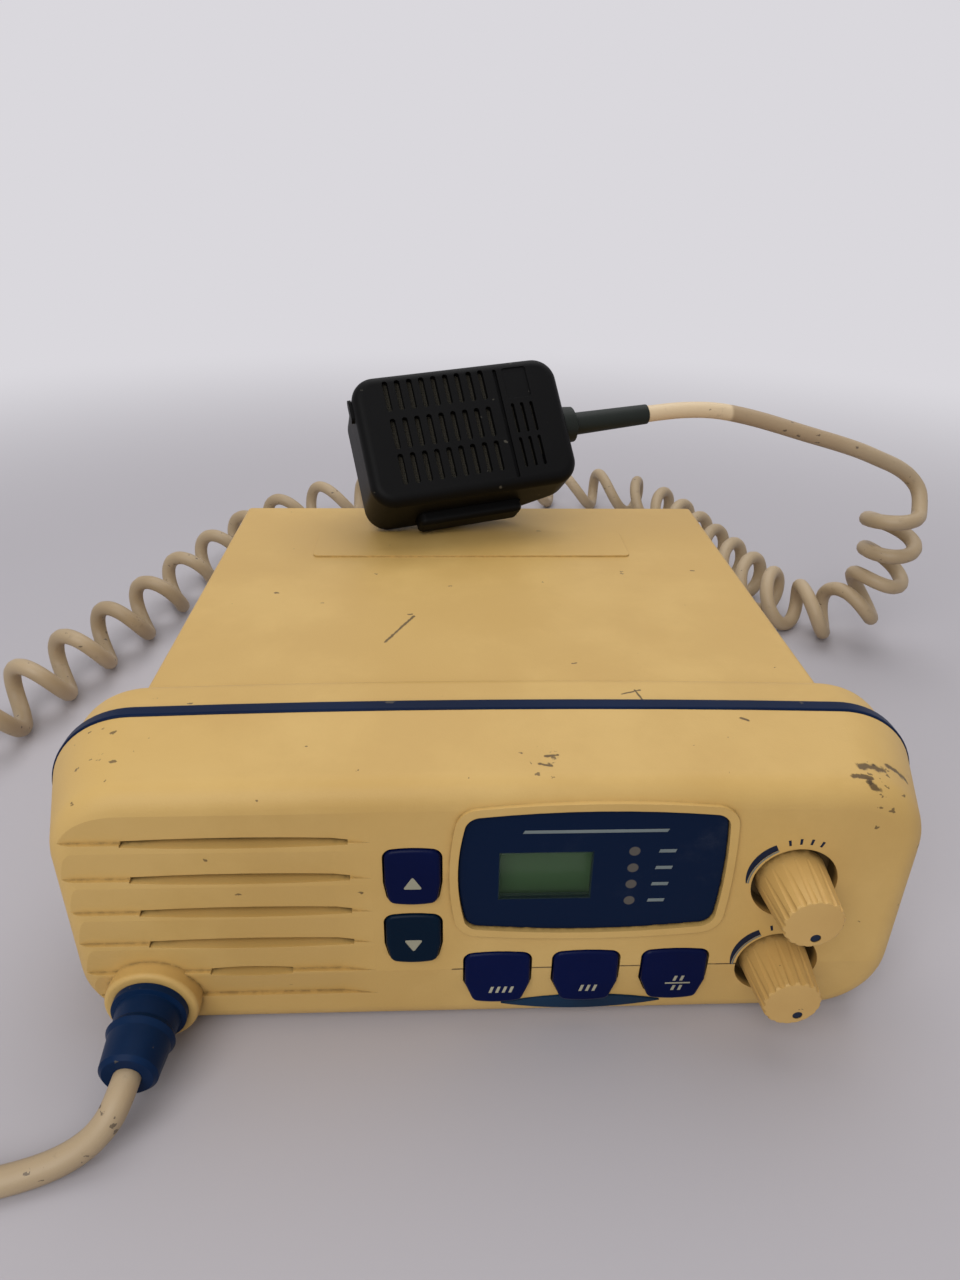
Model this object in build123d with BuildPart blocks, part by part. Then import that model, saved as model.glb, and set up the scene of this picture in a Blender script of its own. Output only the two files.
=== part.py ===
"""A fixed-mount marine VHF radio with its fist microphone, as an assembly of separate pieces.

Units are millimetres. +Z is up and the front panel faces -Y. The origin is the centre of the
case's flat underside. Every piece is a solid of its own, written to parts/<name>.step.
"""

import os
from math import atan2, cos, degrees, hypot, radians, sin, tan

from build123d import *

os.makedirs("parts", exist_ok=True)

# ---------------------------------------------------------------- clearances
moving_gap = 0.3          # between a moving piece and what stands beside it
running_gap = 0.05        # radial, a shaft in its bush
slip_gap = 0.1            # between fixed pieces that slide together
screw_gap = 0.2           # radial, a screw in its clearance hole
pilot_gap = 0.02          # radial, a screw in the hole that it has cut
seat_gap = 0.2            # under the microphone's hanger where it leans on the case

# ---------------------------------------------------------------- case
case_width = 147.2
case_depth = 113.0
case_height = 60.0
case_wall = 2.2
case_edge_radius = 1.6
split_height = 24.0       # where the top cover sits on the bottom case
case_front_y = -case_depth / 2
case_back_y = case_depth / 2

label_pad_width = 92.0    # the raised blank pad on the top cover
label_pad_depth = 19.0
label_pad_height = 0.5
label_pad_from_back = 31.5
label_pad_x = -1.0
label_pad_radius = 1.5
lip_thickness = 1.4
lip_rise = 2.0            # above the split
lip_root = 4.0            # and below it
lip_from_front = 4.0
lip_from_panel = 3.0

# ---------------------------------------------------------------- front unit
collar_depth = 11.5
collar_rear_radius = 4.0
gasket_thickness = 3.5
gasket_proud = 0.4
gasket_band = 3.6
bezel_depth = 24.4
front_width = 180.0
front_foot = 0.5          # the front unit stands this far off the ground
front_top = 64.0
front_crown = 1.8
front_top_radius = 19.0
front_bottom_radius = 17.0
shell_wall = 2.5
side_draft = 9.5          # each side is this much further in at the face
top_draft = 3.0
face_width = front_width - 2 * side_draft
face_top = front_top - top_draft
face_crown = 1.2
face_corner_radius = 15.0
face_edge_radius = 5.5
face_wall = 4.6
face_lean = 2.0           # degrees, the face leans back
lower_lean = 4.5          # degrees, the facet below the crease falls away
crease_height = 17.3

collar_front_y = case_front_y - collar_depth
gasket_front_y = collar_front_y - gasket_thickness
face_y = gasket_front_y - bezel_depth
inner_face_y = face_y + face_wall


def face_y_at(height):
    """Return the y of the front face at a height."""
    crease_y = face_y + crease_height * tan(radians(face_lean))
    if height >= crease_height:
        return face_y + height * tan(radians(face_lean))
    return crease_y + (crease_height - height) * tan(radians(lower_lean))


# ---------------------------------------------------------------- speaker and its slots
speaker_x = -47.0
speaker_z = 35.0
speaker_radius = 22.5
speaker_depth = 17.0
speaker_rim = 1.5
magnet_radius = 12.0
magnet_depth = 6.5
magnet_chamfer = 0.8
pole_length = 3.0
basket_wall = 1.2
basket_rim_width = 3.0
voice_coil_radius = 4.0
former_wall = 0.7
former_setback = 0.5      # from the former's end to the magnet
cone_gap = 0.05           # between the cone's surround and the rim that it is glued into
cone_throat = 5.4         # depth of the cone's narrow end
cone_wall = 0.8
cone_cap_wall = 0.6
surround_depth = 0.5
surround_roll = 0.3
surround_wall = 0.4
speaker_washer_radius = 3.6
speaker_screw_length = 2.9
speaker_pilot_depth = 4.2
speaker_screw_circle = speaker_radius + 2.5
speaker_screw_angles = (45, 135, -45)
speaker_boss_radius = 2.3
cloth_thickness = 0.6
cloth_margin = 3.8        # the cloth reaches this far past the slots
slot_middle = 1.9         # height of a slot at its middle
slot_end = 0.8            # and at its blunt ends
slots = [(-68.7, -27.3, 49.8), (-68.2, -27.3, 41.3), (-67.6, -27.3, 33.1),
         (-67.0, -27.3, 25.1), (-56.1, -39.9, 17.5)]
louvre_left_x = -83.0
louvre_right_x = -23.3
louvre_depth = 0.9
louvre_height = 6.6
louvre_fade = 7.0
louvre_pitch = 7.2        # from the lowest slot to the ledge below it
louvre_end_depth = 0.03

# ---------------------------------------------------------------- display
lens_thickness = 1.6
lens_corner_radius = 3.0
lens_lip = 1.7            # width of the raised lip round the lens
lens_lip_proud = 0.8
lens_recess = 0.9         # the lens lies this far behind its lip
lens_points = {"left": -6.9, "left_corner": -5.1, "right_corner": 43.1, "right": 43.9,
               "middle_x": 19.0, "middle_z": 42.4, "top": 56.8, "top_corner": 55.4,
               "bottom": 27.5, "bottom_corner": 28.9}
window_pocket = 0.8
lens_edge_radius = 0.35
window = (-2.0, 39.0, 31.5, 53.0)     # x low, x high, z low, z high of the opening behind the lens
lcd_view = (0.9, 18.5, 35.6, 46.7)    # the clear part of the lens over the panel
lcd_glass = (-1.6, 21.5, 32.0, 50.0)
lcd_glass_thickness = 2.2
led_x = 26.3
led_heights = [46.8, 42.8, 38.8, 34.7]
led_pipe_radius = 1.05
led_chip = (1.6, 1.2, 1.0)            # width, height and thickness of an indicator's chip
comb_thickness = 1.5
comb_margin = 1.55                    # the comb reaches this far past its pipes
comb_foot = 1.2
lcd_holder_rim = (1.4, 1.8)           # how far the holder reaches past the glass, to the side and up
light_well_rim = 2.0
light_well_depth = 3.5

# ---------------------------------------------------------------- front circuit board
board_thickness = 1.6
front_board = (-22.0, 74.0, 6.0, 56.5)
front_board_corner = 9.0              # its corners at the knobs' end
front_board_setback = 9.3             # from the inside of the face to the board
front_board_y = inner_face_y + front_board_setback
front_board_posts = [(-15.5, 53.7), (-15.5, 9.5), (68.5, 51.5), (68.5, 9.0)]
post_radius = 2.5
small_screw_radius = 1.0
small_head_radius = 2.0
small_head_height = 1.4
board_screw_length = 6.0

# ---------------------------------------------------------------- buttons
button_gap = 0.35
button_travel = 0.8
button_flange = 1.2
button_flange_rim = 1.0
button_edge_radius = 0.8
button_tilt = 7.0                     # degrees, a button's foot stands further out than its head
channel_button_proud = 0.9
function_button_proud = 1.1
mat_thickness = 1.2
mat_margin = 1.0                      # the mat reaches this far past the keys
dome_radius = 2.2
channel_buttons = {"channel_up_button": (-15.5, 41.8, 10.6, 9.2, 12.6),
                   "channel_down_button": (-15.6, 26.3, 10.8, 9.0, 11.7)}
function_buttons = {"function_button_left": (1.1, 15.3, 13.2, 9.8, 12.7),
                    "function_button_middle": (19.0, 15.3, 13.2, 9.8, 12.7),
                    "function_button_right": (37.1, 15.3, 13.2, 9.8, 12.7)}

# ---------------------------------------------------------------- knobs and their controls
knob_x = 58.2
knob_heights = {"squelch": 38.3, "volume": 16.9}
knob_pointers = {"squelch": 15.0, "volume": 26.0}     # degrees right of straight down
pointer_radius = 1.0
pointer_reach = 3.6                   # from the knob's axis
pointer_depth = 0.3
knob_base_radius = 6.9
knob_tip_radius = 5.75
knob_length = 12.8
knob_flutes = 18
knob_flute_radius = 0.75
knob_flute_depth = 0.4
flute_run_out = 2.0                   # degrees, so that the flutes fade out before the smooth band
knob_smooth_band = 2.6
knob_tip_rounding = 0.5
knob_bore_depth = 9.0
well_gap = 1.55                       # round the knob
well_radius = knob_base_radius + well_gap
well_wall = 1.6
well_depth = 5.9                      # from the face's foot to the well's floor
well_floor_y = face_y + well_depth
well_floor_thickness = 2.0
shaft_radius = 3.0
shaft_flat = 0.7                      # the D flat is cut this far into the shaft
shaft_back_gap = 1.6                  # from the shaft's back end to the board
bush_wall = 0.5
bush_radius = shaft_radius + bush_wall
control_size = 12.4
control_corner_radius = 1.0
nut_thickness = 2.0
nut_wall = 1.5
nut_across_flats = 2 * (bush_radius + nut_wall)

# ---------------------------------------------------------------- microphone cord gland
cord_diameter = 5.2
cord_radius = cord_diameter / 2
gland_x = -68.0
gland_z = 11.2
boss_radius = 9.25
boss_proud = 3.3
gland_neck_radius = 5.4
gland_flange_radius = 7.35
gland_flange_thickness = 1.5
gland_barrel_radius = 6.3
gland_tip_radius = 5.5
gland_ridge = 0.3                     # the ridge round the barrel stands this far out
gland_ridge_place = 0.45              # of the gland's length, from the boss
gland_ridge_half = 1.2
gland_edge = 0.8
gland_length = 15.0
gland_bore_depth = 3.0
gland_neck_back = 9.4
clip_width = 2.0
clip_radius = gland_neck_radius + clip_width
clip_thickness = 2.5
boss_edge_radius = 0.9
boss_front_y = face_y_at(gland_z) - boss_proud
gland_tip_y = boss_front_y - gland_length

# ---------------------------------------------------------------- badge
badge_width = 33.3
badge_height = 4.0
badge_thickness = 0.9
badge_recess = 0.5
badge_x = 18.75
badge_z = 6.4

# ---------------------------------------------------------------- rear panel
panel_gap = 0.2
panel_thickness = 4.0
panel_from_back = 12.0                # to its inner surface
panel_y = case_back_y - panel_from_back
fin_pitch = 6.0
fin_thickness = 2.0
fin_first_x = -2.0
fin_margin = 6.0                      # from the last fin to the panel's end, at least
socket_from_side = 23.6
socket_x = -case_width / 2 + socket_from_side
socket_z = 32.0
socket_flange = 25.4
socket_flange_radius = 2.0
socket_chamfer = 0.6
socket_flange_thickness = 3.0
socket_thread_radius = 7.94
socket_thread_length = 15.0
socket_bore_radius = 6.7
socket_bore_depth = 10.0
socket_body_radius = 7.6
socket_screw_spacing = 18.2
socket_body_inside = 5.0
socket_pin_radius = 2.6
contact_wall = 0.8
contact_recess = 2.0                  # the contact ends this far inside the socket's mouth
contact_tail = 4.0
antenna_pin_bore_radius = 1.0
grommet_from_socket = 28.0
grommet_x = socket_x + grommet_from_socket
grommet_z = 38.0
grommet_radius = 6.0
grommet_flange_radius = 8.0
grommet_flange_thickness = 1.6
grommet_bore_radius = 3.4
grommet_length = 17.0
grommet_barb = 1.2
grommet_barb_length = 2.4
jack_x = grommet_x
jack_z = 16.0
jack_size = 10.0
jack_bush_radius = 4.0
jack_bore_radius = 1.8
jack_bore_depth = 14.0
jack_bush_length = 9.0
jack_nut_thickness = 2.0
jack_nut_wall = 1.6
jack_body_depth = 9.0

# ---------------------------------------------------------------- case fasteners and inserts
screw_radius = 1.5
screw_head_radius = 2.9
screw_head_height = 2.0
screw_slot_length = 3.6
screw_slot_width = 0.8
screw_slot_depth = 1.0
screw_end_gap = 1.0                   # from a screw's tip to the bottom of its hole
board_screw_end_gap = 0.6
case_post_from_side = 8.6
case_post_from_front = 9.5
case_post_from_panel = 6.5
case_post_x = case_width / 2 - case_post_from_side
case_post_front_y = case_front_y + case_post_from_front
case_post_back_y = panel_y - case_post_from_panel
case_post_radius = 3.2
insert_from_top = 22.0
insert_z = case_height - insert_from_top
insert_length = 8.0
insert_outer_radius = 3.4
insert_thread_radius = 2.1
insert_boss_radius = 5.6
front_screw_inset = 11.0              # from the side of the front unit to its screws
front_screw_x = front_width / 2 - front_screw_inset
front_screw_heights = (50.0, 24.0)
front_boss_radius = 3.3
front_boss_start = 5.3                # the bosses start this far behind the inside of the face
front_screw_bite = 9.5                # how far the screws reach into the front unit
front_pilot_depth = front_screw_bite + 2.5
collar_screw_from_side = 15.6
collar_screw_x = case_width / 2 - collar_screw_from_side
collar_screw_from_top = 10.0
collar_screw_heights = (13.0, case_height - collar_screw_from_top)
collar_window_margin = 10.0           # from the collar's screws to the way through it
collar_window_height = 30.0
collar_window_rise = 1.0              # above the middle of the case
collar_window_radius = 4.0
collar_boss_length = 8.0
collar_inset = 0.6
cover_screw_reach = 9.0
panel_screw_from_top = 14.0
panel_screw_heights = (14.0, case_height - panel_screw_from_top)
panel_screw_length = 8.0

# ---------------------------------------------------------------- main circuit board
main_board_from_side = 10.4           # to the inside of the case
main_board_from_front = 13.5
main_board_from_panel = 11.5
main_board_width = case_width - 2 * (case_wall + main_board_from_side)
main_board_depth = case_depth - main_board_from_front - main_board_from_panel - panel_from_back
main_board_y = (main_board_from_front - main_board_from_panel - panel_from_back) / 2
main_board_corner_radius = 2.0
standoff_height = 11.0                # top of the standoffs, where the board lies
standoff_radius = 3.5
standoff_inset = 5.0                  # from the board's edges
standoff_x = main_board_width / 2 - standoff_inset
standoff_y = main_board_depth / 2 - standoff_inset
shield_place = (-26.0, 6.0)           # from the board's middle
shield_width = 46.0
shield_depth = 40.0
shield_height = 9.0
shield_wall = 0.5
shield_corner_radius = 1.5
capacitors = [(18.0, -25.0, 5.0, 13.0), (31.0, -25.0, 5.0, 13.0), (44.0, -23.0, 4.0, 11.0),
              (14.0, 23.0, 4.0, 11.0)]    # x, y from the board's middle, radius, height
capacitor_edge_radius = 0.6
module_x = 31.0
module_z = 26.0
module_width = 60.0
module_height = 12.0
module_depth = 9.0
module_chamfer = 1.0
ribbon_x = -8.0
ribbon_width = 18.0
ribbon_thickness = 0.8
ribbon_high_z = 24.0
ribbon_end_setback = 8.0              # from the board's front edge to its connector
ribbon_bend_radius = 2.5
ribbon_level_run = 9.0
ribbon_drop_run = 5.0
ribbon_arch = 3.0                     # the ribbon comes down on its connector from this far above
connector_bite = 1.0                  # how far the ribbon reaches into its connectors
connector_height = 5.0
connector_depth = 5.0
connector_rim = 1.0

# ---------------------------------------------------------------- microphone
# Its own axes: u along its length towards the cord, v across its width, and depth in from its face.
mic_length = 62.5
mic_width = 39.5
mic_depth = 27.3
mic_wall = 2.0
mic_corner_radius = 7.0
mic_front_radius = 3.0
mic_rear_radius = 4.5
mic_seam = 8.0                        # depth of the front shell
mic_taper_from = 14.0                 # the rear shell thins towards the cord from here
mic_taper_depth = 14.0                # depth that is left at the cord end
mic_taper_blend = 20.0
mic_x = -2.3
mic_from_back = 21.9                  # the middle of its face, in from the case's back edge
mic_yaw = 19.7
mic_tilt = 51.8
mic_roll = -6.2
grille_first_u = -21.2
grille_pitch = 3.6
grille_columns = 9
grille_slot_width = 1.6
grille_slot_length = 9.3
grille_rows = (12.7, 1.2, -9.5)
groove_u = 12.0
groove_width = 1.1
groove_depth = 1.1
groove_length = 34.0
side_slot_first_u = 15.2
side_slot_pitch = 2.9
side_slot_columns = 3
side_slot_width = 1.0
blank_pad = (18.0, 12.3, 7.4, 9.6)    # centre u, centre v, length, width of the recess for a mark
blank_pad_depth = 0.4
blank_pad_radius = 0.8
bump_v = 11.5
bump_length = 7.0
bump_width = 3.2
bump_proud = 0.9
cloth_sheet = 0.4
ptt_u = -1.0
ptt_length = 32.0
ptt_height = 9.2
ptt_centre_depth = 16.4
ptt_proud = 3.4
ptt_travel = 1.2
ptt_flange = 1.4
ptt_flange_rim = 1.0
ptt_edge_radius = 1.5
ptt_corner_radius = 2.0
ptt_seat_gap = 0.35                   # under the bar where it comes nearest to the case
mic_board_length = 40.0
mic_board_width = 30.0
mic_board_thickness = 1.4
capsule_radius = 4.9
switch_length = 8.0
switch_depth = 8.5
switch_reach = 7.5
plunger_length = 3.0
plunger_width = 2.0
hang_u = -4.0
hang_v = -8.0
hang_head_radius = 8.0
hang_head_thickness = 2.0
hang_neck_radius = 4.2
relief_boss_radius = 5.7
relief_boss_length = 5.0
relief_tip_radius = cord_radius + 0.45
relief_neck_radius = relief_tip_radius + 0.35
relief_flange_radius = relief_neck_radius + 0.8
relief_flange_thickness = 1.7
relief_length = 29.25
relief_tip_u = mic_length / 2 + relief_length
relief_bore_depth = 3.0
mic_post_from_end = 6.25              # from the end away from the cord to the first pair of posts
mic_post_from_cord_end = 7.75
mic_post_from_side = 6.95
mic_post_u = (-mic_length / 2 + mic_post_from_end, mic_length / 2 - mic_post_from_cord_end)
mic_post_v = mic_width / 2 - mic_post_from_side
mic_post_radius = 3.3
mic_post_floor = 0.8                  # left under the screws' pilot holes
mic_rib_thickness = 1.4
mic_rib_overlap = 0.8                 # how far the ribs reach under the board
mic_screw_seats = (1.8, 10.5)         # each pair's head seat, in from the full depth of the rear
mic_screw_radius = 1.1
mic_screw_head_radius = 2.2
mic_screw_head_height = 1.5
mic_screw_end = 3.4                   # depth of the screws' tips

# ---------------------------------------------------------------- curly cord
coil_radius = 11.0                    # outside of the turns
turn_radius = coil_radius - cord_radius
tail_last_run = 7.0


# ---------------------------------------------------------------- outlines
upper_face_plane = Plane(origin=(0, face_y, 0), x_dir=(1, 0, 0),
                         z_dir=(0, -cos(radians(face_lean)), sin(radians(face_lean))))
lower_face_plane = Plane(origin=(0, face_y_at(crease_height), crease_height), x_dir=(1, 0, 0),
                         z_dir=(0, -cos(radians(lower_lean)), -sin(radians(lower_lean))))
past_face_y = face_y - 2.0            # the shell is drawn past its face and then cut back
button_shoulder = 0.12                # of a button's height, its sides start to draw in below its middle
button_bow = 0.5
button_foot_radius = 1.6
button_head_radius = 1.8


def front_outline(y, width, bottom, top, crown, top_radius, bottom_radius):
    """Return a rounded upright outline at y, its top edge bowed up by crown."""
    half = width / 2
    with BuildSketch(Plane.XZ.offset(-y)) as outline:
        with BuildLine():
            Polyline((-half, top - crown), (-half, bottom), (half, bottom), (half, top - crown))
            ThreePointArc((half, top - crown), (0, top), (-half, top - crown))
        make_face()
        fillet(outline.vertices().group_by(Axis.Y)[0], bottom_radius)
        fillet(outline.vertices().group_by(Axis.Y)[-1], top_radius)
    return outline.sketch


def shell_outline(y, inset):
    """Return the front unit's outline where the gasket lies, made smaller by inset."""
    return front_outline(y, front_width - 2 * inset, front_foot + inset, front_top - inset, front_crown,
                         front_top_radius - inset, front_bottom_radius - inset)


def face_outline(y, inset):
    """Return the front unit's outline at its face, made smaller by inset."""
    return front_outline(y, face_width - 2 * inset, front_foot + inset, face_top - inset, face_crown,
                         face_corner_radius - inset, face_corner_radius - inset)


def lens_outline(height, grow=0.0):
    """Return the display lens's bowed outline, height above the face, made larger by grow."""
    left, right = lens_points["left"] - grow, lens_points["right"] + grow
    left_corner, right_corner = lens_points["left_corner"] - grow, lens_points["right_corner"] + grow
    bottom, top = lens_points["bottom"] - grow, lens_points["top"] + grow
    bottom_corner, top_corner = lens_points["bottom_corner"] - grow, lens_points["top_corner"] + grow
    middle_x, middle_z = lens_points["middle_x"], lens_points["middle_z"]
    with BuildSketch(upper_face_plane.offset(height)) as outline:
        with BuildLine():
            ThreePointArc((left_corner, top_corner), (middle_x, top), (right_corner, top_corner))
            ThreePointArc((right_corner, top_corner), (right, middle_z), (right_corner, bottom_corner))
            ThreePointArc((right_corner, bottom_corner), (middle_x, bottom), (left_corner, bottom_corner))
            ThreePointArc((left_corner, bottom_corner), (left, middle_z), (left_corner, top_corner))
        make_face()
        fillet(outline.vertices(), lens_corner_radius + grow)
    return outline.sketch


def button_outline(y, centre_x, centre_z, head_width, foot_width, height, grow=0.0):
    """Return a button's outline at y: straight head, bowed and narrower foot, made larger by grow."""
    head, foot = head_width / 2, foot_width / 2
    top, bottom = centre_z + height / 2, centre_z - height / 2
    shoulder = centre_z - height * button_shoulder
    with BuildSketch(Plane.XZ.offset(-y)) as outline:
        with BuildLine():
            Polyline((centre_x - foot, bottom + button_bow), (centre_x - head, shoulder),
                     (centre_x - head, top - button_bow))
            ThreePointArc((centre_x - head, top - button_bow), (centre_x, top),
                          (centre_x + head, top - button_bow))
            Polyline((centre_x + head, top - button_bow), (centre_x + head, shoulder),
                     (centre_x + foot, bottom + button_bow))
            ThreePointArc((centre_x + foot, bottom + button_bow), (centre_x, bottom),
                          (centre_x - foot, bottom + button_bow))
        make_face()
        fillet(outline.vertices().group_by(Axis.Y)[0], button_foot_radius)
        fillet(outline.vertices().group_by(Axis.Y)[-1], button_head_radius)
        if grow:
            offset(amount=grow, kind=Kind.ARC)
    return outline.sketch


def box_sketch(y, limits):
    """Return a rectangle at y from (x low, x high, z low, z high)."""
    x_low, x_high, z_low, z_high = limits
    with BuildSketch(Plane.XZ.offset(-y)) as outline:
        with Locations(((x_low + x_high) / 2, (z_low + z_high) / 2)):
            Rectangle(x_high - x_low, z_high - z_low)
    return outline.sketch


def disc(y, x, z, radius):
    """Return a round outline at y."""
    with BuildSketch(Plane.XZ.offset(-y)) as outline:
        with Locations((x, z)):
            Circle(radius)
    return outline.sketch


# ================================================================ front unit
with BuildPart() as front_bezel:
    loft(sections=[shell_outline(gasket_front_y, 0), face_outline(past_face_y, 0)], ruled=True)
    split(bisect_by=upper_face_plane, keep=Keep.BOTTOM)
    split(bisect_by=lower_face_plane, keep=Keep.BOTTOM)
    fronts = front_bezel.faces().sort_by(Axis.Y)[0:2]
    rim = {edge for edge in fronts.edges()
           if abs(edge.center().Z - crease_height) > 1 or edge.length < face_corner_radius}
    fillet(rim, face_edge_radius)
    # the hollow behind the face
    loft(sections=[shell_outline(gasket_front_y, shell_wall), face_outline(inner_face_y, shell_wall)],
         ruled=True, mode=Mode.SUBTRACT)
    # the raised lip round the lens, the lens recess and the opening behind it
    extrude(lens_outline(lens_lip_proud, lens_lip), amount=-2 * lens_lip_proud)
    lens_back = lens_lip_proud - lens_recess - lens_thickness
    extrude(lens_outline(lens_back, slip_gap), amount=2 * lens_thickness, mode=Mode.SUBTRACT)
    extrude(box_sketch(past_face_y, window), amount=-2 * face_wall, mode=Mode.SUBTRACT)
    # louvres: each board falls back towards the ledge below it
    for ledge_z in [slot[2] for slot in slots] + [slots[-1][2] - louvre_pitch]:
        wedge = []
        for x, depth in ((louvre_left_x, louvre_depth), (louvre_right_x - louvre_fade, louvre_depth),
                         (louvre_right_x, louvre_end_depth)):
            surface_y = face_y_at(ledge_z)
            top_y = face_y_at(ledge_z + louvre_height)
            with BuildSketch(Plane.YZ.offset(x)) as triangle:
                with BuildLine():
                    Polyline((surface_y + depth, ledge_z), (top_y, ledge_z + louvre_height),
                             (top_y - 1, ledge_z + louvre_height), (surface_y - 1, ledge_z), close=True)
                make_face()
            wedge.append(triangle.sketch)
        loft(sections=wedge, ruled=True, mode=Mode.SUBTRACT)
    # speaker slots
    for left, right, z in slots:
        middle = (left + right) / 2
        with BuildSketch(Plane.XZ.offset(-past_face_y)):
            with BuildLine():
                ThreePointArc((left, z + slot_end / 2), (middle, z + slot_middle / 2),
                              (right, z + slot_end / 2))
                Line((right, z + slot_end / 2), (right, z - slot_end / 2))
                ThreePointArc((right, z - slot_end / 2), (middle, z - slot_middle / 2),
                              (left, z - slot_end / 2))
                Line((left, z - slot_end / 2), (left, z + slot_end / 2))
            make_face()
        extrude(amount=-2 * face_wall, mode=Mode.SUBTRACT)
    # button openings
    for shape in list(channel_buttons.values()) + list(function_buttons.values()):
        extrude(button_outline(past_face_y, *shape, grow=button_gap), amount=-2 * face_wall,
                mode=Mode.SUBTRACT)
    # knob wells: cups with a hole for the control's bush
    for z in knob_heights.values():
        extrude(disc(inner_face_y, knob_x, z, well_radius + well_wall),
                amount=-(well_floor_y + well_floor_thickness - inner_face_y))
    for z in knob_heights.values():
        extrude(disc(past_face_y, knob_x, z, well_radius), amount=-(well_floor_y - past_face_y),
                mode=Mode.SUBTRACT)
        extrude(disc(past_face_y, knob_x, z, bush_radius + slip_gap), amount=-4 * face_wall,
                mode=Mode.SUBTRACT)
    # the boss for the microphone cord's gland
    extrude(disc(boss_front_y, gland_x, gland_z, boss_radius), amount=-(inner_face_y - boss_front_y))
    boss_edge = front_bezel.faces().sort_by(Axis.Y)[0].outer_wire().edges()
    fillet(boss_edge, boss_edge_radius)
    extrude(disc(boss_front_y, gland_x, gland_z, gland_neck_radius + slip_gap), amount=-4 * face_wall,
            mode=Mode.SUBTRACT)
    # the badge's shallow seat on the lower facet
    badge_plane = Plane(origin=(badge_x, face_y_at(badge_z), badge_z), x_dir=(1, 0, 0),
                        z_dir=lower_face_plane.z_dir)
    with BuildSketch(badge_plane.offset(badge_thickness)):
        with BuildLine():
            seat_half = badge_width / 2 + slip_gap
            seat_rise = badge_height / 2 + slip_gap
            ThreePointArc((-seat_half, 0), (0, seat_rise), (seat_half, 0))
            ThreePointArc((seat_half, 0), (0, -seat_rise), (-seat_half, 0))
        make_face()
    extrude(amount=-(badge_thickness + badge_recess), mode=Mode.SUBTRACT)
    # posts for the front board, with pilot holes
    for x, z in front_board_posts:
        extrude(disc(inner_face_y, x, z, post_radius), amount=-(front_board_y - inner_face_y))
        extrude(disc(front_board_y, x, z, small_screw_radius + pilot_gap), amount=board_screw_length,
                mode=Mode.SUBTRACT)
    # bosses for the speaker's screws
    speaker_back_y = inner_face_y + cloth_thickness + speaker_rim
    speaker_screw_places = [(speaker_x + speaker_screw_circle * cos(radians(angle)),
                             speaker_z + speaker_screw_circle * sin(radians(angle)))
                            for angle in speaker_screw_angles]
    for x, z in speaker_screw_places:
        extrude(disc(inner_face_y, x, z, speaker_boss_radius), amount=-(speaker_back_y - inner_face_y))
        extrude(disc(speaker_back_y, x, z, small_screw_radius + pilot_gap), amount=speaker_pilot_depth,
                mode=Mode.SUBTRACT)
    # bosses for the screws that hold the collar
    for x in (-front_screw_x, front_screw_x):
        for z in front_screw_heights:
            extrude(disc(collar_front_y, x, z, front_boss_radius),
                    amount=collar_front_y - inner_face_y - front_boss_start)
            extrude(disc(collar_front_y, x, z, screw_radius + pilot_gap), amount=front_pilot_depth,
                    mode=Mode.SUBTRACT)
front_bezel.part.label = "front_bezel"
export_step(front_bezel.part, "parts/front_bezel.step")

with BuildPart() as bezel_gasket:
    extrude(shell_outline(collar_front_y, -gasket_proud), amount=gasket_thickness)
    fillet(bezel_gasket.edges().group_by(Axis.Y)[0] + bezel_gasket.edges().group_by(Axis.Y)[-1],
           gasket_proud * 1.5)
    extrude(shell_outline(collar_front_y, gasket_band), amount=gasket_thickness, mode=Mode.SUBTRACT)
bezel_gasket.part.label = "bezel_gasket"
export_step(bezel_gasket.part, "parts/bezel_gasket.step")

with BuildPart() as rear_collar:
    extrude(shell_outline(collar_front_y, collar_inset), amount=-collar_depth)
    fillet(rear_collar.faces().sort_by(Axis.Y)[-1].edges(), collar_rear_radius)
    extrude(shell_outline(collar_front_y, collar_inset + shell_wall), amount=-(collar_depth - shell_wall),
            mode=Mode.SUBTRACT)
    # the way through for the ribbon and the leads
    with BuildSketch(Plane.XZ.offset(-case_front_y)):
        with Locations((0, case_height / 2 + collar_window_rise)):
            RectangleRounded(2 * (collar_screw_x - collar_window_margin), collar_window_height,
                             collar_window_radius)
    extrude(amount=shell_wall, mode=Mode.SUBTRACT)
    # bosses and counterbored holes for the front screws
    for x in (-front_screw_x, front_screw_x):
        for z in front_screw_heights:
            extrude(disc(collar_front_y, x, z, front_boss_radius), amount=-(collar_depth - shell_wall))
    for x in (-front_screw_x, front_screw_x):
        for z in front_screw_heights:
            extrude(disc(collar_front_y, x, z, screw_radius + screw_gap), amount=-collar_depth,
                    mode=Mode.SUBTRACT)
            extrude(disc(case_front_y, x, z, screw_head_radius + slip_gap), amount=screw_head_height,
                    mode=Mode.SUBTRACT)
    for x in (-collar_screw_x, collar_screw_x):
        for z in collar_screw_heights:
            extrude(disc(case_front_y, x, z, screw_radius + screw_gap), amount=shell_wall,
                    mode=Mode.SUBTRACT)
rear_collar.part.label = "rear_collar"
export_step(rear_collar.part, "parts/rear_collar.step")

with BuildPart() as front_screws:
    for x in (-front_screw_x, front_screw_x):
        for z in front_screw_heights:
            extrude(disc(case_front_y, x, z, screw_head_radius), amount=screw_head_height)
            extrude(disc(case_front_y - screw_head_height, x, z, screw_radius),
                    amount=collar_depth - screw_head_height + front_screw_bite)
            with BuildSketch(Plane.XZ.offset(-case_front_y)):
                with Locations((x, z)):
                    Rectangle(screw_slot_length, screw_slot_width)
                    Rectangle(screw_slot_width, screw_slot_length)
            extrude(amount=screw_slot_depth, mode=Mode.SUBTRACT)
front_screws.part.label = "front_screws"
export_step(front_screws.part, "parts/front_screws.step")

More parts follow.
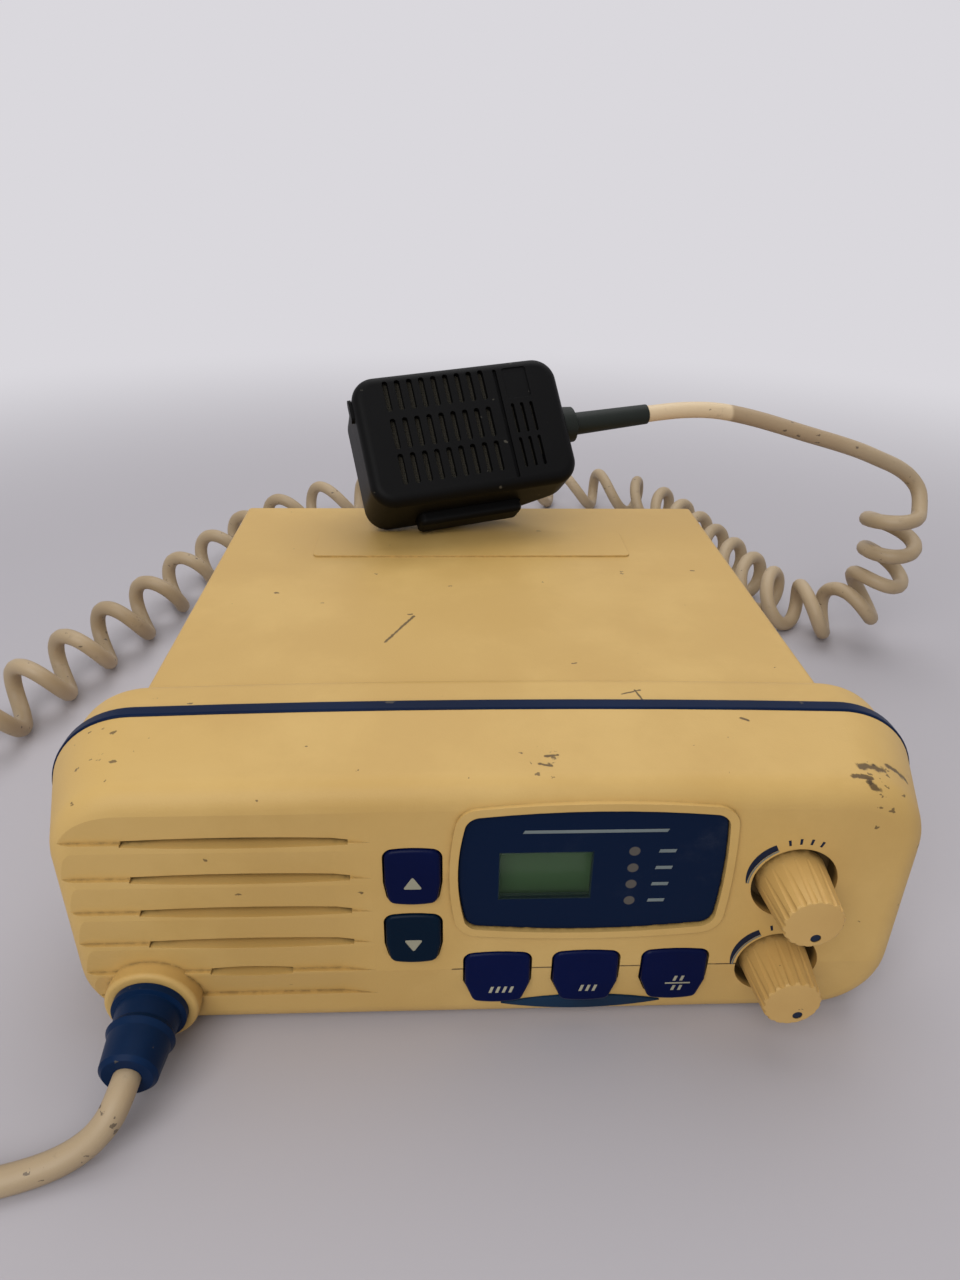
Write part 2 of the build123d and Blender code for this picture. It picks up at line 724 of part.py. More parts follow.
# ================================================================ display
with BuildPart() as display_lens:
    extrude(lens_outline(lens_back), amount=lens_thickness)
    fillet(display_lens.faces().sort_by(Axis.Y)[0].edges(), lens_edge_radius)
    # the pocket over the panel, which leaves the clear window thin
    view_x_low, view_x_high, view_z_low, view_z_high = lcd_view
    with BuildSketch(upper_face_plane.offset(lens_back)):
        with Locations(((view_x_low + view_x_high) / 2, (view_z_low + view_z_high) / 2)):
            Rectangle(view_x_high - view_x_low, view_z_high - view_z_low)
    extrude(amount=window_pocket, mode=Mode.SUBTRACT)
display_lens.part.label = "display_lens"
export_step(display_lens.part, "parts/display_lens.step")

lcd_front_y = inner_face_y + moving_gap
lcd_back_y = lcd_front_y + lcd_glass_thickness
with BuildPart() as lcd_panel:
    extrude(box_sketch(lcd_front_y, lcd_glass), amount=-lcd_glass_thickness)
    chamfer(lcd_panel.edges().filter_by(Axis.Y), 0.4)
lcd_panel.part.label = "lcd_panel"
export_step(lcd_panel.part, "parts/lcd_panel.step")

lcd_x_low, lcd_x_high, lcd_z_low, lcd_z_high = lcd_glass
with BuildPart() as lcd_holder:
    rim_side, rim_up = lcd_holder_rim
    holder = (lcd_x_low - rim_side, lcd_x_high + rim_side, lcd_z_low - rim_up, lcd_z_high + rim_up)
    extrude(box_sketch(lcd_back_y, holder), amount=-(front_board_y - lcd_back_y))
    light_well = (lcd_x_low + light_well_rim, lcd_x_high - light_well_rim,
                  lcd_z_low + light_well_rim, lcd_z_high - light_well_rim)
    extrude(box_sketch(lcd_back_y, light_well), amount=-light_well_depth, mode=Mode.SUBTRACT)
lcd_holder.part.label = "lcd_holder"
export_step(lcd_holder.part, "parts/lcd_holder.step")

chip_width, chip_rise, chip_thickness = led_chip
pipe_back_y = front_board_y - chip_thickness - moving_gap
pipe_front_y = face_y_at(led_heights[0]) - lens_back + moving_gap
with BuildPart() as led_light_pipe:
    comb_half = led_pipe_radius + comb_margin / 2
    comb_low = led_heights[-1] - led_pipe_radius - comb_margin
    comb_high = led_heights[0] + led_pipe_radius + comb_margin
    extrude(box_sketch(pipe_back_y, (led_x - comb_half, led_x + comb_half, comb_low, comb_high)),
            amount=comb_thickness)
    for z in led_heights:
        extrude(disc(pipe_back_y, led_x, z, led_pipe_radius), amount=pipe_back_y - pipe_front_y)
    for z in (comb_low, comb_high - comb_foot):
        extrude(box_sketch(front_board_y, (led_x - comb_half, led_x + comb_half, z, z + comb_foot)),
                amount=front_board_y - pipe_back_y)
led_light_pipe.part.label = "led_light_pipe"
export_step(led_light_pipe.part, "parts/led_light_pipe.step")

with BuildPart() as indicator_leds:
    for z in led_heights:
        extrude(box_sketch(front_board_y, (led_x - chip_width / 2, led_x + chip_width / 2,
                                           z - chip_rise / 2, z + chip_rise / 2)),
                amount=chip_thickness)
indicator_leds.part.label = "indicator_leds"
export_step(indicator_leds.part, "parts/indicator_leds.step")

# ================================================================ front board and keypad
front_board_back_y = front_board_y + board_thickness
with BuildPart() as front_circuit_board:
    extrude(box_sketch(front_board_y, front_board), amount=-board_thickness)
    fillet(front_circuit_board.edges().filter_by(Axis.Y).group_by(Axis.X)[-1], front_board_corner)
    for x, z in front_board_posts:
        extrude(disc(front_board_y, x, z, small_screw_radius + screw_gap), amount=-board_thickness,
                mode=Mode.SUBTRACT)
front_circuit_board.part.label = "front_circuit_board"
export_step(front_circuit_board.part, "parts/front_circuit_board.step")

button_back_y = inner_face_y + moving_gap + button_flange
dome_front_y = button_back_y + button_travel + moving_gap
mat_front_y = front_board_y - mat_thickness


def mat_limits(shapes):
    """Return (x low, x high, z low, z high) of the mat behind some buttons."""
    lefts = [centre_x - head_width / 2 for centre_x, _, head_width, _, _ in shapes]
    rights = [centre_x + head_width / 2 for centre_x, _, head_width, _, _ in shapes]
    bottoms = [centre_z - height / 2 for _, centre_z, _, _, height in shapes]
    tops = [centre_z + height / 2 for _, centre_z, _, _, height in shapes]
    return (min(lefts) - mat_margin, max(rights) + mat_margin, min(bottoms) - mat_margin,
            max(tops) + mat_margin)


channel_mat = mat_limits(channel_buttons.values())
function_mat = mat_limits(function_buttons.values())
with BuildPart() as keypad_mat:
    extrude(box_sketch(front_board_y, channel_mat), amount=mat_thickness)
    extrude(box_sketch(front_board_y, (channel_mat[1], *function_mat[1:])), amount=mat_thickness)
    for centre_x, centre_z, *_ in list(channel_buttons.values()) + list(function_buttons.values()):
        extrude(disc(mat_front_y, centre_x, centre_z, dome_radius), amount=mat_front_y - dome_front_y)
keypad_mat.part.label = "keypad_mat"
export_step(keypad_mat.part, "parts/keypad_mat.step")


def make_button(name, shape, proud):
    """Build a button with the flange that holds it behind the face, and write it."""
    centre_x, centre_z, head_width, foot_width, height = shape
    front = Plane(origin=(centre_x, face_y_at(centre_z) - proud, centre_z), x_dir=(1, 0, 0),
                  z_dir=(0, -cos(radians(button_tilt)), sin(radians(button_tilt))))
    with BuildPart() as button:
        extrude(button_outline(button_back_y, *shape), amount=button_back_y - face_y + face_wall)
        split(bisect_by=front, keep=Keep.BOTTOM)
        fillet(button.faces().sort_by(Axis.Y)[0].edges(), button_edge_radius)
        extrude(button_outline(button_back_y, *shape, grow=button_flange_rim), amount=button_flange)
    button.part.label = name
    export_step(button.part, f"parts/{name}.step")
    return button


channel_keys = [make_button(name, shape, channel_button_proud) for name, shape in channel_buttons.items()]
function_keys = [make_button(name, shape, function_button_proud)
                 for name, shape in function_buttons.items()]

# ================================================================ knobs and controls
control_front_y = well_floor_y + well_floor_thickness
nut_front_y = well_floor_y - nut_thickness
knob_back_y = nut_front_y - moving_gap
shaft_back_y = front_board_y - shaft_back_gap
shaft_front_y = knob_back_y - knob_bore_depth + moving_gap
flat_depth = shaft_radius - shaft_flat
knob_taper = degrees(atan2(knob_base_radius - knob_tip_radius, knob_length))
flute_tilt = knob_taper + flute_run_out


def d_outline(plane, grow):
    """Return the D shape of a shaft's end on a plane, made larger by grow."""
    with BuildSketch(plane) as outline:
        Circle(shaft_radius + grow)
        with Locations((0, flat_depth + grow + shaft_radius)):
            Rectangle(4 * shaft_radius, 2 * shaft_radius, mode=Mode.SUBTRACT)
    return outline.sketch


def make_knob(name, height, pointer):
    """Build a tapered, fluted knob with a pointer's dimple and a D bore, and write it."""
    back = Plane(origin=(knob_x, knob_back_y, height), x_dir=(1, 0, 0), z_dir=(0, -1, 0))
    tip = back.offset(knob_length)
    with BuildPart() as knob:
        with BuildSketch(back):
            Circle(knob_base_radius)
        extrude(amount=knob_length, taper=knob_taper)
        fillet(knob.faces().sort_by(Axis.Y)[0].edges(), knob_tip_rounding)
        with Locations(tip):
            with PolarLocations(knob_tip_radius + knob_flute_radius - knob_flute_depth, knob_flutes):
                Cylinder(knob_flute_radius, 2 * (knob_length - knob_smooth_band),
                         rotation=(0, -flute_tilt, 0), mode=Mode.SUBTRACT)
        with BuildSketch(tip):
            with Locations((pointer_reach * sin(radians(pointer)), -pointer_reach * cos(radians(pointer)))):
                Circle(pointer_radius)
        extrude(amount=-pointer_depth, mode=Mode.SUBTRACT)
        extrude(d_outline(back, pilot_gap), amount=knob_bore_depth, mode=Mode.SUBTRACT)
    knob.part.label = name
    export_step(knob.part, f"parts/{name}.step")
    return knob


def make_shaft(name, height):
    """Build a control's shaft, round in its bush and D shaped in the knob, and write it."""
    back = Plane(origin=(knob_x, shaft_back_y, height), x_dir=(1, 0, 0), z_dir=(0, -1, 0))
    round_length = shaft_back_y - knob_back_y
    with BuildPart() as shaft:
        with BuildSketch(back):
            Circle(shaft_radius)
        extrude(amount=round_length)
        extrude(d_outline(back.offset(round_length), 0), amount=knob_back_y - shaft_front_y)
    shaft.part.label = name
    export_step(shaft.part, f"parts/{name}.step")
    return shaft


def make_control(name, height):
    """Build a rotary control: its square body, its bush and the bore for its shaft, and write it."""
    half = control_size / 2
    with BuildPart() as control:
        extrude(box_sketch(front_board_y, (knob_x - half, knob_x + half, height - half, height + half)),
                amount=front_board_y - control_front_y)
        fillet(control.edges().filter_by(Axis.Y), control_corner_radius)
        extrude(disc(control_front_y, knob_x, height, bush_radius), amount=control_front_y - nut_front_y)
        extrude(disc(nut_front_y, knob_x, height, shaft_radius + running_gap),
                amount=-(shaft_back_y + moving_gap - nut_front_y), mode=Mode.SUBTRACT)
    control.part.label = name
    export_step(control.part, f"parts/{name}.step")
    return control


knobs = [make_knob(f"{name}_knob", height, knob_pointers[name]) for name, height in knob_heights.items()]
shafts = [make_shaft(f"{name}_shaft", height) for name, height in knob_heights.items()]
controls = [make_control(f"{name}_control", height) for name, height in knob_heights.items()]

with BuildPart() as control_nuts:
    for knob_z in knob_heights.values():
        with BuildSketch(Plane.XZ.offset(-well_floor_y)):
            with Locations((knob_x, knob_z)):
                RegularPolygon(nut_across_flats / 2, 6, major_radius=False)
                Circle(bush_radius + pilot_gap, mode=Mode.SUBTRACT)
        extrude(amount=nut_thickness)
control_nuts.part.label = "control_nuts"
export_step(control_nuts.part, "parts/control_nuts.step")

# ================================================================ speaker
rim_front_y = inner_face_y + cloth_thickness
cloth_limits = (min(slot[0] for slot in slots) - cloth_margin,
                max(slot[1] for slot in slots) + cloth_margin,
                slots[-1][2] - cloth_margin, slots[0][2] + cloth_margin)
with BuildPart() as speaker_cloth:
    extrude(box_sketch(rim_front_y, cloth_limits), amount=cloth_thickness)
    for x, z in speaker_screw_places:
        extrude(disc(rim_front_y, x, z, speaker_boss_radius + slip_gap), amount=cloth_thickness,
                mode=Mode.SUBTRACT)
    extrude(disc(rim_front_y, gland_x, gland_z, clip_radius + slip_gap), amount=cloth_thickness,
            mode=Mode.SUBTRACT)
speaker_cloth.part.label = "speaker_cloth"
export_step(speaker_cloth.part, "parts/speaker_cloth.step")


speaker_axis = Axis((speaker_x, rim_front_y, speaker_z), (0, 1, 0))
basket_depth = speaker_depth - magnet_depth
basket_inside = basket_depth - basket_wall
flat_rim = speaker_radius - basket_rim_width
cone_edge = flat_rim - cone_gap
former_outside = voice_coil_radius - slip_gap
former_inside = former_outside - former_wall
former_end = basket_depth - former_setback
pole_radius = former_inside - slip_gap


def turned_profile(axis_x, front_y, axis_z, points):
    """Return a closed profile of (radius, depth) points beside an axis that runs along +Y."""
    plane = Plane(origin=(axis_x, front_y, axis_z), x_dir=(1, 0, 0), z_dir=(0, 0, 1))
    with BuildSketch(plane) as profile:
        with BuildLine():
            Polyline(*points, close=True)
        make_face()
    return profile.sketch


with BuildPart() as speaker_frame:
    revolve(turned_profile(speaker_x, rim_front_y, speaker_z, [
        (speaker_radius, 0), (speaker_radius, speaker_rim), (flat_rim + 1.0, speaker_rim),
        (magnet_radius + 0.5, basket_depth), (voice_coil_radius, basket_depth),
        (voice_coil_radius, basket_inside), (magnet_radius - 0.4, basket_inside),
        (flat_rim, speaker_rim), (flat_rim, 0)]), axis=speaker_axis)
speaker_frame.part.label = "speaker_frame"
export_step(speaker_frame.part, "parts/speaker_frame.step")

with BuildPart() as speaker_cone:
    # the dust cap, the cone, its surround's roll and edge, then back to the voice coil's former
    revolve(turned_profile(speaker_x, rim_front_y, speaker_z, [
        (0, cone_throat - 1.0), (voice_coil_radius + 1.6, cone_throat), (cone_edge - 2.4, surround_depth),
        (cone_edge - 1.2, surround_depth - surround_roll), (cone_edge, surround_depth),
        (cone_edge, surround_depth + surround_wall),
        (cone_edge - 1.2, surround_depth + surround_wall - surround_roll),
        (cone_edge - 2.5, surround_depth + cone_wall - surround_roll),
        (voice_coil_radius + 2.0, cone_throat + cone_wall), (former_outside, cone_throat + cone_wall + 0.2),
        (former_outside, former_end), (former_inside, former_end),
        (former_inside, cone_throat + surround_wall), (0, cone_throat - 1.0 + cone_cap_wall)]),
        axis=speaker_axis)
speaker_cone.part.label = "speaker_cone"
export_step(speaker_cone.part, "parts/speaker_cone.step")

with BuildPart() as speaker_magnet:
    revolve(turned_profile(speaker_x, rim_front_y, speaker_z, [
        (0, basket_depth - pole_length), (pole_radius, basket_depth - pole_length),
        (pole_radius, basket_depth), (magnet_radius, basket_depth),
        (magnet_radius, speaker_depth - magnet_chamfer), (magnet_radius - magnet_chamfer, speaker_depth),
        (0, speaker_depth)]), axis=speaker_axis)
speaker_magnet.part.label = "speaker_magnet"
export_step(speaker_magnet.part, "parts/speaker_magnet.step")

with BuildPart() as speaker_screws:
    for x, z in speaker_screw_places:
        extrude(disc(speaker_back_y, x, z, speaker_washer_radius), amount=-small_head_height)
        extrude(disc(speaker_back_y, x, z, small_screw_radius), amount=speaker_screw_length)
speaker_screws.part.label = "speaker_screws"
export_step(speaker_screws.part, "parts/speaker_screws.step")

# ================================================================ microphone cord gland
gland_axis = Axis((gland_x, boss_front_y, gland_z), (0, 1, 0))
with BuildPart() as mic_cord_gland:
    ridge_y = -gland_length * gland_ridge_place
    revolve(turned_profile(gland_x, boss_front_y, gland_z, [
        (0, gland_neck_back), (gland_neck_radius, gland_neck_back), (gland_neck_radius, 0),
        (gland_flange_radius, 0), (gland_flange_radius, -gland_flange_thickness),
        (gland_barrel_radius, -gland_flange_thickness - gland_ridge),
        (gland_barrel_radius - gland_ridge, ridge_y + gland_ridge_half),
        (gland_barrel_radius + gland_ridge, ridge_y),
        (gland_barrel_radius - gland_ridge, ridge_y - gland_ridge_half),
        (gland_tip_radius, gland_edge - gland_length), (gland_tip_radius - gland_edge, -gland_length),
        (cord_radius, -gland_length), (cord_radius, gland_bore_depth - gland_length),
        (0, gland_bore_depth - gland_length)]), axis=gland_axis)
mic_cord_gland.part.label = "mic_cord_gland"
export_step(mic_cord_gland.part, "parts/mic_cord_gland.step")

with BuildPart() as gland_clip:
    with BuildSketch(Plane.XZ.offset(-inner_face_y)):
        with Locations((gland_x, gland_z)):
            Circle(clip_radius)
            Circle(gland_neck_radius + pilot_gap, mode=Mode.SUBTRACT)
    extrude(amount=-clip_thickness)
gland_clip.part.label = "gland_clip"
export_step(gland_clip.part, "parts/gland_clip.step")

# ================================================================ badge
with BuildPart() as badge_plate:
    with BuildSketch(badge_plane.offset(-badge_recess)):
        with BuildLine():
            ThreePointArc((-badge_width / 2, 0), (0, badge_height / 2), (badge_width / 2, 0))
            ThreePointArc((badge_width / 2, 0), (0, -badge_height / 2), (-badge_width / 2, 0))
        make_face()
    extrude(amount=badge_thickness)
badge_plate.part.label = "badge_plate"
export_step(badge_plate.part, "parts/badge_plate.step")

# ================================================================ case shells
case_inside = case_width - 2 * case_wall
post_places = [(x, y) for x in (-case_post_x, case_post_x) for y in (case_post_front_y, case_post_back_y)]
collar_screw_low, collar_screw_high = collar_screw_heights
panel_screw_low, panel_screw_high = panel_screw_heights


def side_disc(x, y, z, radius, inward):
    """Return a round outline on a side of the case, to extrude towards the inside or the outside."""
    outward = 1 if x > 0 else -1
    facing = -outward if inward else outward
    with BuildSketch(Plane(origin=(x, y, z), x_dir=(0, 1, 0), z_dir=(facing, 0, 0))) as outline:
        Circle(radius)
    return outline.sketch


def floor_disc(x, y, z, radius):
    """Return a round outline lying level at a height."""
    with BuildSketch(Plane(origin=(x, y, z))) as outline:
        Circle(radius)
    return outline.sketch


with BuildPart() as bottom_case:
    with BuildSketch(Plane.XY):
        Rectangle(case_width, case_depth)
    extrude(amount=split_height)
    fillet(bottom_case.faces().sort_by(Axis.Z)[0].edges().filter_by(Axis.Y), case_edge_radius)
    with BuildSketch(Plane.XY.offset(case_wall)):
        Rectangle(case_inside, case_depth)
    extrude(amount=case_height, mode=Mode.SUBTRACT)
    # a lip that lines the cover up, along each side
    lip_from, lip_to = case_front_y + lip_from_front, panel_y - lip_from_panel
    for side in (-1, 1):
        with BuildSketch(Plane.XY.offset(split_height - lip_root)):
            with Locations((side * (case_inside / 2 - slip_gap - lip_thickness / 2),
                            (lip_from + lip_to) / 2)):
                Rectangle(lip_thickness, lip_to - lip_from)
        extrude(amount=lip_root + lip_rise)
        with BuildSketch(Plane.XY.offset(split_height - lip_root)):
            with Locations((side * (case_inside / 2 - slip_gap / 2), (lip_from + lip_to) / 2)):
                Rectangle(slip_gap, lip_to - lip_from)
        extrude(amount=lip_root)
    # posts for the cover's screws, and standoffs for the main board
    for x, y in post_places:
        extrude(floor_disc(x, y, case_wall, case_post_radius), amount=split_height - case_wall)
    for x in (-standoff_x, standoff_x):
        for y in (main_board_y - standoff_y, main_board_y + standoff_y):
            extrude(floor_disc(x, y, case_wall, standoff_radius), amount=standoff_height - case_wall)
            extrude(floor_disc(x, y, standoff_height, small_screw_radius + pilot_gap),
                    amount=-board_screw_length, mode=Mode.SUBTRACT)
    for x, y in post_places:
        extrude(floor_disc(x, y, 0, screw_radius + screw_gap), amount=split_height, mode=Mode.SUBTRACT)
        extrude(floor_disc(x, y, 0, screw_head_radius + slip_gap), amount=screw_head_height + slip_gap,
                mode=Mode.SUBTRACT)
    # bosses for the collar's screws
    for x in (-collar_screw_x, collar_screw_x):
        extrude(disc(case_front_y, x, collar_screw_low, case_post_radius), amount=-collar_boss_length)
        with BuildSketch(Plane.XY.offset(case_wall)):
            with Locations((x, case_front_y + collar_boss_length / 2)):
                Rectangle(case_post_radius, collar_boss_length)
        extrude(amount=collar_screw_low - case_wall)
        extrude(disc(case_front_y, x, collar_screw_low, screw_radius + pilot_gap),
                amount=-collar_boss_length, mode=Mode.SUBTRACT)
    for x in (-case_width / 2, case_width / 2):
        extrude(side_disc(x, panel_y + panel_thickness / 2, panel_screw_low, small_screw_radius + screw_gap,
                          True), amount=case_wall, mode=Mode.SUBTRACT)
bottom_case.part.label = "bottom_case"
export_step(bottom_case.part, "parts/bottom_case.step")

with BuildPart() as top_cover:
    with BuildSketch(Plane.XY.offset(split_height)):
        Rectangle(case_width, case_depth)
    extrude(amount=case_height - split_height)
    fillet(top_cover.faces().sort_by(Axis.Z)[-1].edges().filter_by(Axis.Y), case_edge_radius)
    with BuildSketch(Plane.XY.offset(split_height)):
        Rectangle(case_inside, case_depth)
    extrude(amount=case_height - split_height - case_wall, mode=Mode.SUBTRACT)
    # the raised pad for a label
    with BuildSketch(Plane.XY.offset(case_height)):
        with Locations((label_pad_x, case_back_y - label_pad_from_back)):
            RectangleRounded(label_pad_width, label_pad_depth, label_pad_radius)
    extrude(amount=label_pad_height)
    # posts that the cover's screws reach
    roof = case_height - case_wall
    for x, y in post_places:
        extrude(floor_disc(x, y, split_height, case_post_radius), amount=roof - split_height)
        extrude(floor_disc(x, y, split_height, screw_radius + pilot_gap), amount=cover_screw_reach,
                mode=Mode.SUBTRACT)
    for x in (-collar_screw_x, collar_screw_x):
        extrude(disc(case_front_y, x, collar_screw_high, case_post_radius), amount=-collar_boss_length)
        with BuildSketch(Plane.XY.offset(roof)):
            with Locations((x, case_front_y + collar_boss_length / 2)):
                Rectangle(case_post_radius, collar_boss_length)
        extrude(amount=collar_screw_high - roof)
        extrude(disc(case_front_y, x, collar_screw_high, screw_radius + pilot_gap),
                amount=-collar_boss_length, mode=Mode.SUBTRACT)
    # bosses for the bracket's threaded inserts
    for x in (-case_width / 2, case_width / 2):
        extrude(side_disc(x, 0, insert_z, insert_boss_radius, True), amount=insert_length)
        extrude(side_disc(x, 0, insert_z, insert_outer_radius, True), amount=insert_length,
                mode=Mode.SUBTRACT)
        extrude(side_disc(x, panel_y + panel_thickness / 2, panel_screw_high,
                          small_screw_radius + screw_gap, True), amount=case_wall, mode=Mode.SUBTRACT)
top_cover.part.label = "top_cover"
export_step(top_cover.part, "parts/top_cover.step")

with BuildPart() as bracket_inserts:
    for x in (-case_width / 2, case_width / 2):
        extrude(side_disc(x, 0, insert_z, insert_outer_radius, True), amount=insert_length)
        extrude(side_disc(x, 0, insert_z, insert_thread_radius, True), amount=insert_length,
                mode=Mode.SUBTRACT)
bracket_inserts.part.label = "bracket_inserts"
export_step(bracket_inserts.part, "parts/bracket_inserts.step")

with BuildPart() as case_screws:
    collar_inner_y = case_front_y - shell_wall
    for x, y in post_places:
        extrude(floor_disc(x, y, slip_gap, screw_head_radius), amount=screw_head_height)
        extrude(floor_disc(x, y, slip_gap, screw_radius),
                amount=split_height + cover_screw_reach - screw_end_gap)
        with BuildSketch(Plane(origin=(x, y, slip_gap))):
            Rectangle(screw_slot_length, screw_slot_width)
            Rectangle(screw_slot_width, screw_slot_length)
        extrude(amount=screw_slot_depth, mode=Mode.SUBTRACT)
    for x in (-collar_screw_x, collar_screw_x):
        for z in collar_screw_heights:
            extrude(disc(collar_inner_y, x, z, screw_head_radius), amount=screw_head_height)
            extrude(disc(collar_inner_y, x, z, screw_radius),
                    amount=-(shell_wall + collar_boss_length - screw_end_gap))
case_screws.part.label = "case_screws"
export_step(case_screws.part, "parts/case_screws.step")

# ================================================================ rear panel
panel_back_y = panel_y + panel_thickness
panel_half = case_inside / 2 - panel_gap
panel_limits = (-panel_half, panel_half, case_wall + panel_gap, roof - panel_gap)
fin_count = 1 + int((panel_half - fin_margin - fin_thickness / 2 - fin_first_x) / fin_pitch)
with BuildPart() as heat_sink:
    extrude(box_sketch(panel_back_y, panel_limits), amount=panel_thickness)
    for index in range(fin_count):
        x = fin_first_x + index * fin_pitch
        extrude(box_sketch(panel_back_y, (x - fin_thickness / 2, x + fin_thickness / 2, *panel_limits[2:])),
                amount=-(case_back_y - panel_back_y))
    # holes for the socket, the grommet, the jack and their screws
    extrude(disc(panel_back_y, socket_x, socket_z, socket_body_radius + slip_gap),
            amount=panel_thickness, mode=Mode.SUBTRACT)
    for x in (-socket_screw_spacing / 2, socket_screw_spacing / 2):
        for z in (-socket_screw_spacing / 2, socket_screw_spacing / 2):
            extrude(disc(panel_back_y, socket_x + x, socket_z + z, small_screw_radius + pilot_gap),
                    amount=panel_thickness, mode=Mode.SUBTRACT)
    extrude(disc(panel_back_y, grommet_x, grommet_z, grommet_radius + pilot_gap), amount=panel_thickness,
            mode=Mode.SUBTRACT)
    extrude(disc(panel_back_y, jack_x, jack_z, jack_bush_radius + pilot_gap), amount=panel_thickness,
            mode=Mode.SUBTRACT)
    # pilot holes in the panel's ends
    for side in (-1, 1):
        for z in panel_screw_heights:
            extrude(side_disc(side * panel_half, panel_y + panel_thickness / 2, z,
                              small_screw_radius + pilot_gap, True), amount=panel_screw_length,
                    mode=Mode.SUBTRACT)
heat_sink.part.label = "heat_sink"
export_step(heat_sink.part, "parts/heat_sink.step")

with BuildPart() as panel_screws:
    for side in (-1, 1):
        for z in panel_screw_heights:
            y = panel_y + panel_thickness / 2
            extrude(side_disc(side * case_width / 2, y, z, small_head_radius, False),
                    amount=small_head_height)
            extrude(side_disc(side * case_width / 2, y, z, small_screw_radius, True),
                    amount=case_wall + panel_screw_length - screw_end_gap)
    flange_back_y = panel_back_y + socket_flange_thickness
    for x in (-socket_screw_spacing / 2, socket_screw_spacing / 2):
        for z in (-socket_screw_spacing / 2, socket_screw_spacing / 2):
            extrude(disc(flange_back_y, socket_x + x, socket_z + z, small_head_radius),
                    amount=-small_head_height)
            extrude(disc(flange_back_y, socket_x + x, socket_z + z, small_screw_radius),
                    amount=socket_flange_thickness + panel_thickness)
panel_screws.part.label = "panel_screws"
export_step(panel_screws.part, "parts/panel_screws.step")

with BuildPart() as antenna_socket:
    with BuildSketch(Plane.XZ.offset(-panel_back_y)):
        with Locations((socket_x, socket_z)):
            RectangleRounded(socket_flange, socket_flange, socket_flange_radius)
    extrude(amount=-socket_flange_thickness)
    socket_tip_y = panel_back_y + socket_flange_thickness + socket_thread_length
    extrude(disc(panel_back_y, socket_x, socket_z, socket_thread_radius),
            amount=-(socket_tip_y - panel_back_y))
    chamfer(antenna_socket.faces().sort_by(Axis.Y)[-1].edges(), socket_chamfer)
    extrude(disc(panel_back_y, socket_x, socket_z, socket_body_radius),
            amount=panel_thickness + socket_body_inside)
    extrude(disc(socket_tip_y, socket_x, socket_z, socket_bore_radius), amount=socket_bore_depth,
            mode=Mode.SUBTRACT)
    extrude(disc(panel_back_y, socket_x, socket_z, socket_pin_radius + pilot_gap),
            amount=-2 * socket_thread_length, mode=Mode.SUBTRACT)
    extrude(disc(panel_back_y, socket_x, socket_z, socket_pin_radius + pilot_gap),
            amount=panel_thickness + socket_body_inside, mode=Mode.SUBTRACT)
    for x in (-socket_screw_spacing / 2, socket_screw_spacing / 2):
        for z in (-socket_screw_spacing / 2, socket_screw_spacing / 2):
            extrude(disc(panel_back_y, socket_x + x, socket_z + z, small_screw_radius + screw_gap),
                    amount=-socket_flange_thickness, mode=Mode.SUBTRACT)
antenna_socket.part.label = "antenna_socket"
export_step(antenna_socket.part, "parts/antenna_socket.step")

with BuildPart() as antenna_contact:
    bore_floor_y = socket_tip_y - socket_bore_depth
    body_back_y = panel_y - socket_body_inside
    extrude(disc(body_back_y, socket_x, socket_z, socket_pin_radius), amount=-(bore_floor_y - body_back_y))
    extrude(disc(body_back_y, socket_x, socket_z, socket_pin_radius - contact_wall), amount=contact_tail)
    extrude(disc(bore_floor_y, socket_x, socket_z, socket_pin_radius - contact_wall),
            amount=-(socket_bore_depth - contact_recess))
    extrude(disc(socket_tip_y - contact_recess, socket_x, socket_z, antenna_pin_bore_radius),
            amount=socket_bore_depth - contact_recess - 1, mode=Mode.SUBTRACT)
antenna_contact.part.label = "antenna_contact"
export_step(antenna_contact.part, "parts/antenna_contact.step")

with BuildPart() as power_grommet:
    revolve(turned_profile(grommet_x, panel_back_y, grommet_z, [
        (grommet_bore_radius, grommet_length), (grommet_radius - 1.2, grommet_length),
        (grommet_radius - 0.4, grommet_flange_thickness + 0.4),
        (grommet_flange_radius, grommet_flange_thickness), (grommet_flange_radius, 0),
        (grommet_radius, 0), (grommet_radius, -panel_thickness),
        (grommet_radius + grommet_barb, -panel_thickness),
        (grommet_radius, -panel_thickness - grommet_barb_length),
        (grommet_bore_radius, -panel_thickness - grommet_barb_length)]),
        axis=Axis((grommet_x, panel_back_y, grommet_z), (0, 1, 0)))
power_grommet.part.label = "power_grommet"
export_step(power_grommet.part, "parts/power_grommet.step")

with BuildPart() as speaker_jack:
    jack_half = jack_size / 2
    extrude(box_sketch(panel_y, (jack_x - jack_half, jack_x + jack_half,
                                 jack_z - jack_half, jack_z + jack_half)), amount=jack_body_depth)
    extrude(disc(panel_y, jack_x, jack_z, jack_bush_radius), amount=-jack_bush_length)
    with BuildSketch(Plane.XZ.offset(-panel_back_y)):
        with Locations((jack_x, jack_z)):
            RegularPolygon(jack_bush_radius + jack_nut_wall, 6, major_radius=False)
    extrude(amount=-jack_nut_thickness)
    extrude(disc(panel_y + jack_bush_length, jack_x, jack_z, jack_bore_radius), amount=jack_bore_depth,
            mode=Mode.SUBTRACT)
speaker_jack.part.label = "speaker_jack"
export_step(speaker_jack.part, "parts/speaker_jack.step")

